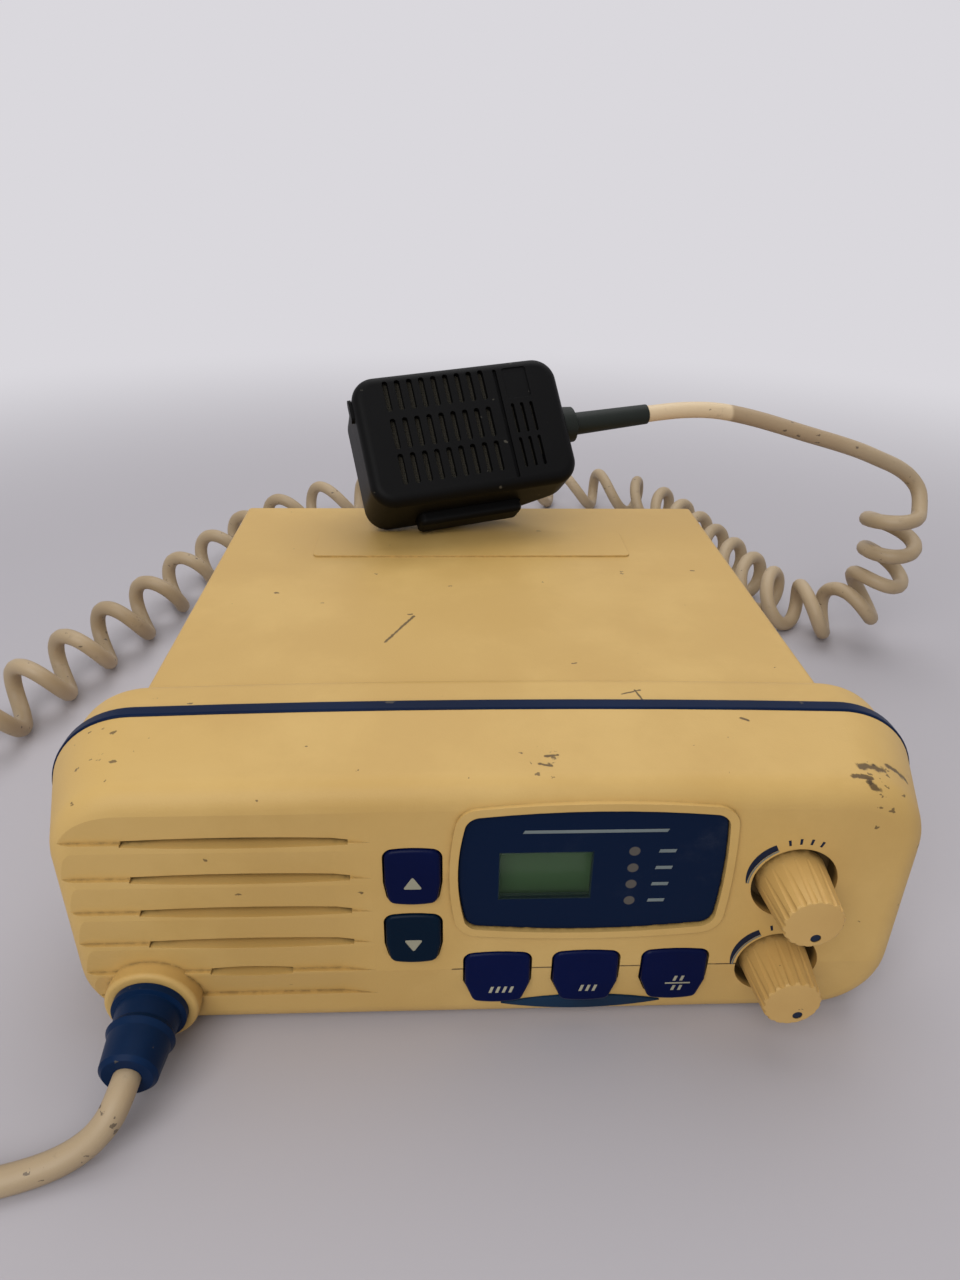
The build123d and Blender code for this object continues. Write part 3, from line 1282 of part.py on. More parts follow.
# ================================================================ main circuit board
board_top = standoff_height + board_thickness
main_board_front_y = main_board_y - main_board_depth / 2
with BuildPart() as main_circuit_board:
    with BuildSketch(Plane.XY.offset(standoff_height)):
        with Locations((0, main_board_y)):
            RectangleRounded(main_board_width, main_board_depth, main_board_corner_radius)
            with GridLocations(2 * standoff_x, 2 * standoff_y, 2, 2):
                Circle(small_screw_radius + screw_gap, mode=Mode.SUBTRACT)
    extrude(amount=board_thickness)
main_circuit_board.part.label = "main_circuit_board"
export_step(main_circuit_board.part, "parts/main_circuit_board.step")

with BuildPart() as board_screws:
    for x in (-standoff_x, standoff_x):
        for y in (main_board_y - standoff_y, main_board_y + standoff_y):
            extrude(floor_disc(x, y, board_top, small_head_radius), amount=small_head_height)
            extrude(floor_disc(x, y, board_top, small_screw_radius),
                    amount=-(board_thickness + board_screw_length - board_screw_end_gap))
    for x, z in front_board_posts:
        extrude(disc(front_board_back_y, x, z, small_head_radius), amount=-small_head_height)
        extrude(disc(front_board_back_y, x, z, small_screw_radius),
                amount=board_thickness + board_screw_length - board_screw_end_gap)
board_screws.part.label = "board_screws"
export_step(board_screws.part, "parts/board_screws.step")

with BuildPart() as shield_can:
    shield_centre = (shield_place[0], main_board_y + shield_place[1])
    with BuildSketch(Plane.XY.offset(board_top)):
        with Locations(shield_centre):
            RectangleRounded(shield_width, shield_depth, shield_corner_radius)
    extrude(amount=shield_height)
    with BuildSketch(Plane.XY.offset(board_top)):
        with Locations(shield_centre):
            Rectangle(shield_width - 2 * shield_wall, shield_depth - 2 * shield_wall)
    extrude(amount=shield_height - shield_wall, mode=Mode.SUBTRACT)
shield_can.part.label = "shield_can"
export_step(shield_can.part, "parts/shield_can.step")

with BuildPart() as filter_capacitors:
    for x, y, radius, height in capacitors:
        extrude(floor_disc(x, main_board_y + y, board_top, radius), amount=height)
    tops = filter_capacitors.faces().filter_by(Axis.Z).sort_by(Axis.Z)[-len(capacitors):]
    fillet(tops.edges(), capacitor_edge_radius)
filter_capacitors.part.label = "filter_capacitors"
export_step(filter_capacitors.part, "parts/filter_capacitors.step")

with BuildPart() as rf_power_module:
    with BuildSketch(Plane.XZ.offset(-panel_y)):
        with Locations((module_x, module_z)):
            Rectangle(module_width, module_height)
    extrude(amount=module_depth)
    chamfer(rf_power_module.edges().filter_by(Axis.X).group_by(Axis.Y)[0], module_chamfer)
rf_power_module.part.label = "rf_power_module"
export_step(rf_power_module.part, "parts/rf_power_module.step")

# the ribbon goes from the back of the front board to the front edge of the main board
ribbon_start_y = front_board_back_y + connector_height
ribbon_end_y = main_board_front_y + ribbon_end_setback
ribbon_end_z = board_top + connector_height
with BuildPart() as ribbon_cable:
    with BuildSketch(Plane.YZ.offset(ribbon_x - ribbon_width / 2)):
        with BuildLine():
            FilletPolyline((ribbon_start_y - connector_bite, ribbon_high_z),
                           (ribbon_start_y + ribbon_level_run, ribbon_high_z),
                           (ribbon_end_y - ribbon_drop_run, ribbon_end_z + ribbon_arch),
                           (ribbon_end_y, ribbon_end_z - connector_bite), radius=ribbon_bend_radius)
        trace(line_width=ribbon_thickness)
    extrude(amount=ribbon_width)
    connector_half = ribbon_width / 2 + connector_rim
    extrude(box_sketch(ribbon_start_y, (ribbon_x - connector_half, ribbon_x + connector_half,
                                        ribbon_high_z - connector_depth / 2,
                                        ribbon_high_z + connector_depth / 2)),
            amount=connector_height)
    with BuildSketch(Plane.XY.offset(board_top)):
        with Locations((ribbon_x, ribbon_end_y)):
            Rectangle(2 * connector_half, connector_depth)
    extrude(amount=connector_height)
ribbon_cable.part.label = "ribbon_cable"
export_step(ribbon_cable.part, "parts/ribbon_cable.step")

# ================================================================ microphone
turn = (Location((0, 0, 0), (0, 0, mic_yaw)) * Location((0, 0, 0), (mic_tilt, 0, 0))
        * Location((0, 0, 0), (0, mic_roll, 0)))
turned = Plane(turn)
u_axis, v_axis, n_axis = turned.x_dir, turned.y_dir, turned.z_dir


def drop(u, v, depth, rounding):
    """Return how far below the microphone's face centre a rounded corner reaches."""
    return rounding - (u * u_axis.Z + v * v_axis.Z - depth * n_axis.Z)


body_ring = mic_corner_radius - mic_rear_radius
body_drop = (drop(-mic_length / 2 + mic_corner_radius, -mic_width / 2 + mic_corner_radius,
                  mic_depth - mic_rear_radius, mic_rear_radius)
             + body_ring * hypot(u_axis.Z, v_axis.Z))
ptt_drop = drop(ptt_u - ptt_length / 2 + ptt_edge_radius, -mic_width / 2 - ptt_proud + ptt_edge_radius,
                ptt_centre_depth + ptt_height / 2 - ptt_edge_radius, ptt_edge_radius)
mic_z = case_height + ptt_seat_gap + max(body_drop, ptt_drop)
mic_origin = Vector(mic_x, case_back_y - mic_from_back, mic_z)
mic_plane = Plane(origin=mic_origin, x_dir=u_axis, z_dir=n_axis)
hang_edge_drop = hang_head_radius * hypot(u_axis.Z, v_axis.Z)
hang_depth = (mic_z + hang_u * u_axis.Z + hang_v * v_axis.Z - hang_edge_drop
              - case_height - seat_gap) / n_axis.Z


def mic_level(depth):
    """Return a plane parallel to the microphone's face, at a depth behind it."""
    return mic_plane.offset(-depth)


def mic_spot(u, v, depth):
    """Return a point given in the microphone's own axes."""
    return mic_origin + u_axis * u + v_axis * v - n_axis * depth


def mic_disc(u, v, depth, radius):
    """Return a round outline parallel to the microphone's face."""
    with BuildSketch(mic_level(depth)) as outline:
        with Locations((u, v)):
            Circle(radius)
    return outline.sketch


def mic_box(centre_u, centre_v, depth, length, width):
    """Return a rectangle parallel to the microphone's face."""
    with BuildSketch(mic_level(depth)) as outline:
        with Locations((centre_u, centre_v)):
            Rectangle(length, width)
    return outline.sketch


def mic_plan(depth, inset):
    """Return the microphone's rounded outline at a depth, made smaller by inset."""
    with BuildSketch(mic_level(depth)) as outline:
        RectangleRounded(mic_length - 2 * inset, mic_width - 2 * inset, mic_corner_radius - inset)
    return outline.sketch


def mic_rear_form(inset):
    """Return the rear shell's form from the seam back, tapered and rounded, made smaller by inset."""
    side = Plane(origin=mic_spot(0, 0, 0), x_dir=u_axis, z_dir=v_axis * -1)
    slope = (mic_depth - mic_taper_depth) / (mic_length / 2 - mic_taper_from)
    past_end = mic_length
    with BuildPart() as form:
        extrude(mic_plan(mic_seam, inset), amount=-mic_depth)
        with BuildSketch(side) as profile:
            with BuildLine():
                FilletPolyline((-past_end, mic_depth), (-past_end, -mic_depth), (mic_taper_from, -mic_depth),
                               (past_end, slope * (past_end - mic_taper_from) - mic_depth),
                               radius=mic_taper_blend)
                Line((past_end, slope * (past_end - mic_taper_from) - mic_depth), (past_end, mic_depth))
                Line((past_end, mic_depth), (-past_end, mic_depth))
            make_face()
            if inset:
                offset(amount=-inset)
        extrude(amount=mic_width, both=True, mode=Mode.INTERSECT)
        rear = []
        for edge in form.edges():
            place = mic_plane.to_local_coords(edge.center())
            level = place.Z > -mic_seam - 0.5
            upright = abs(edge.tangent_at(0.5).dot(n_axis)) > 0.99
            across = abs(edge.tangent_at(0.5).dot(v_axis)) > 0.99 and abs(place.X) < mic_length / 2 - 4
            if not (level or upright or across):
                rear.append(edge)
        fillet(rear, mic_rear_radius - inset)
    return form.part


with BuildPart() as mic_front_shell:
    extrude(mic_plan(0, 0), amount=-mic_seam)
    face = mic_front_shell.faces().filter_by(mic_plane).sort_by(Axis(mic_origin, n_axis))[-1]
    fillet(face.edges(), mic_front_radius)
    extrude(mic_plan(mic_wall, mic_wall), amount=-mic_seam, mode=Mode.SUBTRACT)
    # grille slots in three rows
    with BuildSketch(mic_plane):
        for column in range(grille_columns):
            for row in grille_rows:
                with Locations((grille_first_u + column * grille_pitch, row)):
                    SlotOverall(grille_slot_length, grille_slot_width, rotation=90)
        for column in range(side_slot_columns):
            for row in grille_rows[1:]:
                with Locations((side_slot_first_u + column * side_slot_pitch, row)):
                    SlotOverall(grille_slot_length, side_slot_width, rotation=90)
    extrude(amount=-mic_wall, mode=Mode.SUBTRACT)
    with BuildSketch(mic_plane):
        with Locations((groove_u, 0)):
            SlotOverall(groove_length, groove_width, rotation=90)
    extrude(amount=-groove_depth, mode=Mode.SUBTRACT)
    with BuildSketch(mic_plane):
        with Locations(blank_pad[:2]):
            RectangleRounded(blank_pad[2], blank_pad[3], blank_pad_radius)
    extrude(amount=-blank_pad_depth, mode=Mode.SUBTRACT)
    # a small bump on the end away from the cord
    with BuildSketch(Plane(origin=mic_spot(-mic_length / 2, bump_v, mic_seam / 2 + 1), x_dir=v_axis,
                           z_dir=u_axis * -1)):
        SlotOverall(bump_length, bump_width)
    extrude(amount=bump_proud)
    # posts for the screws, and ribs that carry the board
    for u in mic_post_u:
        for v in (-mic_post_v, mic_post_v):
            extrude(mic_disc(u, v, mic_wall, mic_post_radius), amount=-(mic_seam - mic_wall))
            extrude(mic_disc(u, v, mic_seam, mic_screw_radius + pilot_gap),
                    amount=mic_seam - mic_wall - mic_post_floor, mode=Mode.SUBTRACT)
    rib_columns = [grille_first_u + place * grille_pitch for place in (2.5, 8.6)]
    rib_width = mic_width / 2 - mic_wall - mic_board_width / 2 + mic_rib_overlap
    for u in rib_columns:
        for side in (-1, 1):
            extrude(mic_box(u, side * (mic_width / 2 - mic_wall - rib_width / 2), mic_wall,
                            mic_rib_thickness, rib_width), amount=-(mic_seam - mic_wall))
    # half of the hole for the strain relief's neck
    with BuildSketch(Plane(origin=mic_spot(mic_length / 2 + 1, 0, mic_seam), x_dir=v_axis, z_dir=u_axis)):
        Circle(relief_neck_radius + slip_gap)
    extrude(amount=-2 * mic_wall - 1, mode=Mode.SUBTRACT)
mic_front_shell.part.label = "mic_front_shell"
export_step(mic_front_shell.part, "parts/mic_front_shell.step")

mic_rear_outside = mic_rear_form(0)
mic_rear_inside = mic_rear_form(mic_wall)
with BuildPart() as mic_rear_shell:
    add(mic_rear_outside)
    add(mic_rear_inside, mode=Mode.SUBTRACT)
    # posts for the screws, cut back to the outside of the shell, with their head seats
    for u, seat in zip(mic_post_u, mic_screw_seats):
        for v in (-mic_post_v, mic_post_v):
            extrude(mic_disc(u, v, mic_seam, mic_post_radius), amount=-(mic_depth - seat - mic_seam + 0.3))
            extrude(mic_disc(u, v, mic_seam, mic_screw_radius + screw_gap), amount=-mic_depth,
                    mode=Mode.SUBTRACT)
            extrude(mic_disc(u, v, mic_depth - seat, mic_screw_head_radius + slip_gap), amount=-mic_depth,
                    mode=Mode.SUBTRACT)
    # the opening for the push-to-talk bar
    ptt_plane = Plane(origin=mic_spot(ptt_u, -mic_width / 2 + mic_wall, ptt_centre_depth), x_dir=u_axis,
                      z_dir=v_axis * -1)
    with BuildSketch(ptt_plane):
        RectangleRounded(ptt_length + 2 * moving_gap, ptt_height + 2 * moving_gap,
                         ptt_corner_radius + moving_gap)
    extrude(amount=mic_width / 2, mode=Mode.SUBTRACT)
    # the boss and hole for the hanger's neck
    extrude(mic_disc(hang_u, hang_v, mic_depth - mic_wall - 2, mic_screw_radius + screw_gap),
            amount=-mic_depth, mode=Mode.SUBTRACT)
    with BuildSketch(Plane(origin=mic_spot(mic_length / 2 + 1, 0, mic_seam), x_dir=v_axis, z_dir=u_axis)):
        Circle(relief_neck_radius + slip_gap)
    extrude(amount=-2 * mic_wall - 1, mode=Mode.SUBTRACT)
mic_rear_shell.part.label = "mic_rear_shell"
export_step(mic_rear_shell.part, "parts/mic_rear_shell.step")

with BuildPart() as mic_ptt_button:
    flange_plane = ptt_plane.offset(-moving_gap)
    with BuildSketch(flange_plane):
        RectangleRounded(ptt_length, ptt_height, ptt_corner_radius)
    extrude(amount=mic_wall + ptt_proud + moving_gap)
    fillet(mic_ptt_button.faces().filter_by(ptt_plane).sort_by(Axis(mic_origin, v_axis))[0].edges(),
           ptt_edge_radius)
    with BuildSketch(flange_plane):
        RectangleRounded(ptt_length + 2 * ptt_flange_rim, ptt_height + 2 * ptt_flange_rim,
                         ptt_corner_radius)
    extrude(amount=-ptt_flange)
mic_ptt_button.part.label = "mic_ptt_button"
export_step(mic_ptt_button.part, "parts/mic_ptt_button.step")

with BuildPart() as mic_circuit_board:
    extrude(mic_box(0, 0, mic_seam, mic_board_length, mic_board_width), amount=-mic_board_thickness)
mic_circuit_board.part.label = "mic_circuit_board"
export_step(mic_circuit_board.part, "parts/mic_circuit_board.step")

with BuildPart() as mic_ptt_switch:
    plunger_v = -mic_width / 2 + mic_wall + moving_gap + ptt_flange + ptt_travel + moving_gap
    board_back = mic_seam + mic_board_thickness
    switch_v = plunger_v + plunger_width / 2
    extrude(mic_box(ptt_u, switch_v + switch_reach / 2, board_back, switch_length, switch_reach),
            amount=-switch_depth)
    extrude(mic_box(ptt_u, switch_v, board_back + switch_depth - plunger_length, plunger_length,
                    plunger_width), amount=-plunger_width)
mic_ptt_switch.part.label = "mic_ptt_switch"
export_step(mic_ptt_switch.part, "parts/mic_ptt_switch.step")

with BuildPart() as mic_capsule:
    capsule_front = mic_wall + cloth_sheet + moving_gap
    extrude(mic_disc(grille_first_u + 4 * grille_pitch, grille_rows[1], capsule_front, capsule_radius),
            amount=-(mic_seam - capsule_front))
mic_capsule.part.label = "mic_capsule"
export_step(mic_capsule.part, "parts/mic_capsule.step")

with BuildPart() as mic_grille_cloth:
    cloth_from = grille_first_u - grille_slot_width
    cloth_to = side_slot_first_u + (side_slot_columns - 1) * side_slot_pitch + grille_slot_width
    extrude(mic_box((cloth_from + cloth_to) / 2, 0, mic_wall, cloth_to - cloth_from,
                    mic_width - 2 * mic_wall - 0.6), amount=-cloth_sheet)
    for u in mic_post_u:
        for v in (-mic_post_v, mic_post_v):
            extrude(mic_disc(u, v, mic_wall, mic_post_radius + slip_gap), amount=-cloth_sheet,
                    mode=Mode.SUBTRACT)
    for u in rib_columns:
        for side in (-1, 1):
            extrude(mic_box(u, side * (mic_width / 2 - mic_wall - rib_width / 2), mic_wall,
                            mic_rib_thickness + 2 * slip_gap, rib_width + 2 * slip_gap), amount=-cloth_sheet,
                    mode=Mode.SUBTRACT)
mic_grille_cloth.part.label = "mic_grille_cloth"
export_step(mic_grille_cloth.part, "parts/mic_grille_cloth.step")

with BuildPart() as mic_screws:
    for u, seat in zip(mic_post_u, mic_screw_seats):
        for v in (-mic_post_v, mic_post_v):
            seat_depth = mic_depth - seat
            extrude(mic_disc(u, v, seat_depth, mic_screw_head_radius), amount=-mic_screw_head_height)
            extrude(mic_disc(u, v, seat_depth, mic_screw_radius), amount=seat_depth - mic_screw_end)
mic_screws.part.label = "mic_screws"
export_step(mic_screws.part, "parts/mic_screws.step")

with BuildPart() as mic_hang_button:
    extrude(mic_disc(hang_u, hang_v, hang_depth, hang_head_radius), amount=hang_head_thickness)
    chamfer(mic_hang_button.edges().filter_by(GeomType.CIRCLE), 0.4)
    extrude(mic_disc(hang_u, hang_v, hang_depth - hang_head_thickness, hang_neck_radius),
            amount=hang_depth - hang_head_thickness - mic_depth)
    extrude(mic_disc(hang_u, hang_v, mic_depth, mic_screw_radius), amount=mic_wall + 1.5)
mic_hang_button.part.label = "mic_hang_button"
export_step(mic_hang_button.part, "parts/mic_hang_button.step")

relief_base = Plane(origin=mic_spot(0, 0, mic_seam), x_dir=u_axis, z_dir=n_axis)
with BuildPart() as mic_strain_relief:
    end = mic_length / 2
    inside = end - mic_wall
    boss_end = end + relief_boss_length
    with BuildSketch(relief_base):
        with BuildLine():
            Polyline((inside - slip_gap - relief_flange_thickness, 0),
                     (inside - slip_gap - relief_flange_thickness, relief_flange_radius),
                     (inside - slip_gap, relief_flange_radius), (inside - slip_gap, relief_neck_radius),
                     (end, relief_neck_radius), (end, relief_boss_radius),
                     (boss_end - 1, relief_boss_radius - 0.4), (boss_end, relief_neck_radius),
                     (relief_tip_u, relief_tip_radius), (relief_tip_u, cord_radius),
                     (relief_tip_u - relief_bore_depth, cord_radius), (relief_tip_u - relief_bore_depth, 0),
                     close=True)
        make_face()
    revolve(axis=Axis(relief_base.origin, u_axis))
mic_strain_relief.part.label = "mic_strain_relief"
export_step(mic_strain_relief.part, "parts/mic_strain_relief.step")


# ================================================================ curly cord
def bend_radii(points):
    """Return a radius for each corner of a route that uses up a bit less than half its shorter run."""
    radii = []
    for before, corner, after in zip(points, points[1:], points[2:]):
        run_in = Vector(*corner) - Vector(*before)
        run_out = Vector(*after) - Vector(*corner)
        half_turn = radians(run_in.get_angle(run_out)) / 2
        radii.append(0.45 * min(run_in.length, run_out.length) / tan(half_turn))
    return radii


def lay_tube(name, points, radius):
    """Sweep a round tube along a route with rounded corners, and write it."""
    with BuildPart() as tube:
        with BuildLine() as route:
            FilletPolyline(*points, radius=bend_radii(points))
        with BuildSketch(Plane(origin=route.line @ 0, z_dir=route.line % 0)):
            Circle(radius)
        sweep(path=route.line)
    tube.part.label = name
    export_step(tube.part, f"parts/{name}.step")
    return tube


# the coiled part lies round the back of the radio, and its end rises towards the microphone
coil_points = [
    (-151.5, -6.5, coil_radius), (-146.0, 9.5, coil_radius), (-141.0, 23.5, coil_radius),
    (-135.0, 39.5, coil_radius), (-128.0, 60.5, coil_radius), (-121.0, 78.5, coil_radius),
    (-116.2, 99.0, coil_radius), (-110.0, 120.5, coil_radius), (-106.0, 135.5, coil_radius),
    (-98.0, 160.0, coil_radius), (-88.0, 180.0, coil_radius), (-76.0, 195.0, coil_radius),
    (-58.0, 208.0, coil_radius), (-32.0, 219.0, coil_radius), (2.0, 225.5, coil_radius),
    (36.0, 227.0, coil_radius), (64.0, 224.5, coil_radius), (84.0, 216.5, coil_radius),
    (97.0, 199.0, coil_radius), (105.0, 172.0, coil_radius), (110.0, 143.0, coil_radius),
    (116.9, 115.4, coil_radius), (120.3, 101.7, coil_radius), (126.7, 87.7, coil_radius),
    (135.5, 81.5, coil_radius), (146.0, 79.0, 14.0), (151.5, 73.0, 25.0), (151.5, 67.5, 38.0),
    (148.3, 62.3, 50.0), (145.3, 60.4, 58.3)]
mic_cord_coil = lay_tube("mic_cord_coil", coil_points, coil_radius)

# from the gland down to the ground and round to the coil
lead_start = (gland_x, gland_tip_y + gland_bore_depth, gland_z)
lead_points = [
    lead_start, (-68.0, -116.3, 11.2), (-69.9, -120.0, 8.0), (-74.6, -122.4, 4.2),
    (-81.5, -125.0, cord_radius), (-93.0, -127.8, cord_radius), (-113.0, -126.5, cord_radius),
    (-134.0, -117.0, cord_radius), (-150.0, -99.0, cord_radius), (-159.0, -76.0, cord_radius),
    (-163.0, -52.0, cord_radius), (-161.0, -34.0, cord_radius), (-155.625, -18.5, cord_radius),
    (-151.5, -6.5, cord_radius)]
mic_cord_lead = lay_tube("mic_cord_lead", lead_points, cord_radius)

# from the microphone's strain relief across to the raised end of the coil, where it meets a turn
tail_start = mic_spot(relief_tip_u - relief_bore_depth, 0, mic_seam)
tail_exit = mic_spot(relief_tip_u + relief_bore_depth, 0, mic_seam)
coil_end = Vector(*coil_points[-1])
coil_rise = (coil_end - Vector(*coil_points[-2])).normalized()
across = (Vector(0, 1, 0) - coil_rise * coil_rise.Y).normalized()
tail_end = coil_end + across * turn_radius
tail_last_bend = tail_end + coil_rise * tail_last_run
tail_points = [
    tuple(tail_start), tuple(tail_exit), (67.0, 59.0, 92.4), (78.0, 60.4, 92.1), (89.5, 61.4, 89.8),
    (100.2, 61.9, 86.9), (110.5, 62.0, 83.7), (120.8, 62.5, 80.6), (130.6, 63.6, 77.1),
    (137.5, 65.4, 72.5), tuple(tail_last_bend), tuple(tail_end)]
mic_cord_tail = lay_tube("mic_cord_tail", tail_points, cord_radius)
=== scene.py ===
"""Finishes of a fixed-mount marine radio with a fist microphone on a curly cord.

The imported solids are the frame. This script gives every solid its finish, adds the printed marks, the
paint in the knobs' pointers and the curly cord, and sets up a plain studio. Lengths are in metres where
no comment says otherwise.
"""
import logging
import math
from dataclasses import dataclass, field, replace
from enum import Enum

import bpy
from mathutils import Matrix, Vector
from mathutils.bvhtree import BVHTree


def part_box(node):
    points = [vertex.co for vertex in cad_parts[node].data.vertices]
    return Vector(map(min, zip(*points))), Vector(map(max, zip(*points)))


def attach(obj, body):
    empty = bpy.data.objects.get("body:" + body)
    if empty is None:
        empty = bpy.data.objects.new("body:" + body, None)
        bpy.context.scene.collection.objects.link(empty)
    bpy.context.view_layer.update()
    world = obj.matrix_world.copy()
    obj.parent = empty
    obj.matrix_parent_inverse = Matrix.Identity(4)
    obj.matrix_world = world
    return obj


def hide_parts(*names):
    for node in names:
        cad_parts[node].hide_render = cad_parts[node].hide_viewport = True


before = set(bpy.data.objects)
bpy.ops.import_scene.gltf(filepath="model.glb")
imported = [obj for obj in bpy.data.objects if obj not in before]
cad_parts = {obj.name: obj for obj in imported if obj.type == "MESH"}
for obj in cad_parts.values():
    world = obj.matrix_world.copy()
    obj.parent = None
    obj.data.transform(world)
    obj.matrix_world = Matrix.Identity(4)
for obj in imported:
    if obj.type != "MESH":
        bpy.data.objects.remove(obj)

MM = 0.001
Place = tuple[float, float, float]
Colour = tuple[float, float, float, float]
# middles of the knobs and of the lens's lamps
KNOB_X = 58.2 * MM
KNOB_HEIGHTS = (38.3 * MM, 16.9 * MM)                        # squelch and volume
LAMP_X = 26.3 * MM
LAMP_HEIGHTS = (46.8 * MM, 42.8 * MM, 38.8 * MM, 34.7 * MM)

log = logging.getLogger("radio")


def mm(*values: float) -> tuple[float, ...]:
    """Turn millimetres into metres."""
    return tuple(value * MM for value in values)


def shade(red: int, green: int, blue: int) -> Colour:
    """Turn a screen colour into the colour that a shader takes.

    Args:
        red: the share of red, 0 to 255.
        green: the share of green, 0 to 255.
        blue: the share of blue, 0 to 255.

    Returns:
        The linear colour, with full opacity.
    """
    def linear(value: int) -> float:
        """Undo the screen's curve for one channel."""
        share = value / 255
        return share / 12.92 if share <= 0.04045 else ((share + 0.055) / 1.055) ** 2.4

    return (linear(red), linear(green), linear(blue), 1.0)


class Slot(Enum):
    """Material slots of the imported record."""

    CREAM = "cream_plastic"
    NAVY_RUBBER = "navy_rubber"
    NAVY_GLOSS = "navy_gloss"
    BLUE_KEY = "button_blue"
    TEAL_KEY = "button_teal"
    LCD = "lcd_glass"
    WHITE = "white_plastic"
    CLEAR = "clear_plastic"
    CHIP = "led_chip"
    SILICONE = "keypad_silicone"
    BOARD = "circuit_board"
    STEEL = "steel"
    BRASS = "brass"
    NICKEL = "nickel"
    BLACK = "black_plastic"
    BLACK_RUBBER = "black_rubber"
    PAPER = "speaker_paper"
    CLOTH = "speaker_cloth"
    MAGNET = "magnet"
    ALUMINIUM = "aluminium"
    TINPLATE = "tinplate"
    RIBBON = "ribbon"
    CORD = "cord_jacket"


# ---------------------------------------------------------------- node trees
VECTOR = "NodeSocketVector"
FLOAT = "NodeSocketFloat"


class Wiring:
    """Adds nodes to one node tree and links them."""

    def __init__(self, tree: bpy.types.NodeTree) -> None:
        """Keep the tree that the nodes go into."""
        self.tree = tree

    def add(self, kind: str, inputs: dict | None = None, **settings: object) -> bpy.types.Node:
        """Add one node.

        Args:
            kind: the node's type, without its "ShaderNode" prefix.
            inputs: a value or a socket for each input, by name or number.
            settings: the node's own properties.

        Returns:
            The node.
        """
        node = self.tree.nodes.new("ShaderNode" + kind)
        for name, value in settings.items():
            setattr(node, name, value)
        for key, value in (inputs or {}).items():
            if isinstance(value, bpy.types.NodeSocket):
                self.tree.links.new(value, node.inputs[key])
            else:
                node.inputs[key].default_value = value
        return node

    def math(self, operation: str, a: object, b: object = 0.0) -> bpy.types.NodeSocket:
        """Combine two numbers, and return the result's socket."""
        return self.add("Math", {0: a, 1: b}, operation=operation).outputs[0]

    def times(self, a: object, b: object) -> bpy.types.NodeSocket:
        """Multiply two numbers."""
        return self.math("MULTIPLY", a, b)

    def plus(self, a: object, b: object) -> bpy.types.NodeSocket:
        """Add two numbers."""
        return self.math("ADD", a, b)

    def link(self, value: bpy.types.NodeSocket, node: bpy.types.Node, name: str) -> None:
        """Lead a value to the named input of a node."""
        self.tree.links.new(value, node.inputs[name])

    def vector(self, operation: str, a: object, b: object = (0.0, 0.0, 0.0)) -> bpy.types.NodeSocket:
        """Combine two vectors into a third, and return its socket."""
        return self.add("VectorMath", {0: a, 1: b}, operation=operation).outputs["Vector"]

    def measure(self, operation: str, a: object, b: object = (0.0, 0.0, 0.0)) -> bpy.types.NodeSocket:
        """Combine two vectors into a number, and return its socket."""
        return self.add("VectorMath", {0: a, 1: b}, operation=operation).outputs["Value"]

    def scaled(self, vector: object, factor: object) -> bpy.types.NodeSocket:
        """Multiply a vector by a number."""
        return self.add("VectorMath", {0: vector, "Scale": factor}, operation="SCALE").outputs["Vector"]

    def step(self, value: object, low: float, high: float) -> bpy.types.NodeSocket:
        """Turn a value into a smooth step.

        Args:
            value: the socket to read.
            low: where the step is 0. It may lie above high, for a step that falls.
            high: where the step is 1.

        Returns:
            The step's socket.
        """
        limits = {"Value": value, "From Min": low, "From Max": high}
        if low > high:
            limits = {"Value": value, "From Min": high, "From Max": low, "To Min": 1.0, "To Max": 0.0}
        return self.add("MapRange", limits, interpolation_type="SMOOTHSTEP").outputs[0]

    def mix(self, share: object, below: object, above: object) -> bpy.types.NodeSocket:
        """Lay one colour over another by a share from 0 to 1."""
        return self.add("Mix", {0: share, 6: below, 7: above}, data_type="RGBA").outputs[2]

    def noise(self, place: object, size: float, detail: float = 4.0,
              rough: float = 0.55) -> bpy.types.NodeSocket:
        """Noise whose largest lumps are about size metres wide."""
        inputs = {"Vector": place, "Scale": 1 / size, "Detail": detail, "Roughness": rough}
        return self.add("TexNoise", inputs).outputs["Fac"]


@dataclass
class Effect:
    """A shader node group that several finishes share."""

    name: str
    inputs: tuple[tuple[str, str, object], ...]
    outputs: tuple[tuple[str, str], ...]
    tree: bpy.types.NodeTree | None = None

    def start(self) -> tuple[Wiring, bpy.types.NodeOutputs, bpy.types.Node]:
        """Make the empty group.

        Returns:
            The group's wiring, the sockets of what it is given, and its output node.
        """
        self.tree = bpy.data.node_groups.new(self.name, "ShaderNodeTree")
        for name, kind, value in self.inputs:
            socket = self.tree.interface.new_socket(name, in_out="INPUT", socket_type=kind)
            if value is not None:
                socket.default_value = value
        for name, kind in self.outputs:
            self.tree.interface.new_socket(name, in_out="OUTPUT", socket_type=kind)
        entry = self.tree.nodes.new("NodeGroupInput")
        leaving = self.tree.nodes.new("NodeGroupOutput")
        return Wiring(self.tree), entry.outputs, leaving

    def use(self, w: Wiring, **values: object) -> bpy.types.NodeOutputs:
        """Place the group in a material with a value or a socket for each input, and return its outputs."""
        return w.add("Group", values, node_tree=self.tree).outputs


def build_crease_dirt_and_shade() -> Effect:
    """Dirt and painted shade where surfaces meet, from how open a place is to its surroundings.

    Returns:
        The group.
    """
    effect = Effect("Crease dirt and painted shade", (("Place", VECTOR, None), ("Open", FLOAT, 1.0),
                                      ("Amount", FLOAT, 0.5)), (("Mask", FLOAT),))
    w, given, leaving = effect.start()
    broken = w.step(w.noise(given["Place"], 1.6 * MM, 5.0), 0.36, 0.6)
    shut = w.step(given["Open"], 0.8, 0.25)
    mask = w.times(w.times(shut, w.plus(w.times(broken, 0.6), 0.4)), given["Amount"])
    w.link(mask, leaving, "Mask")
    return effect


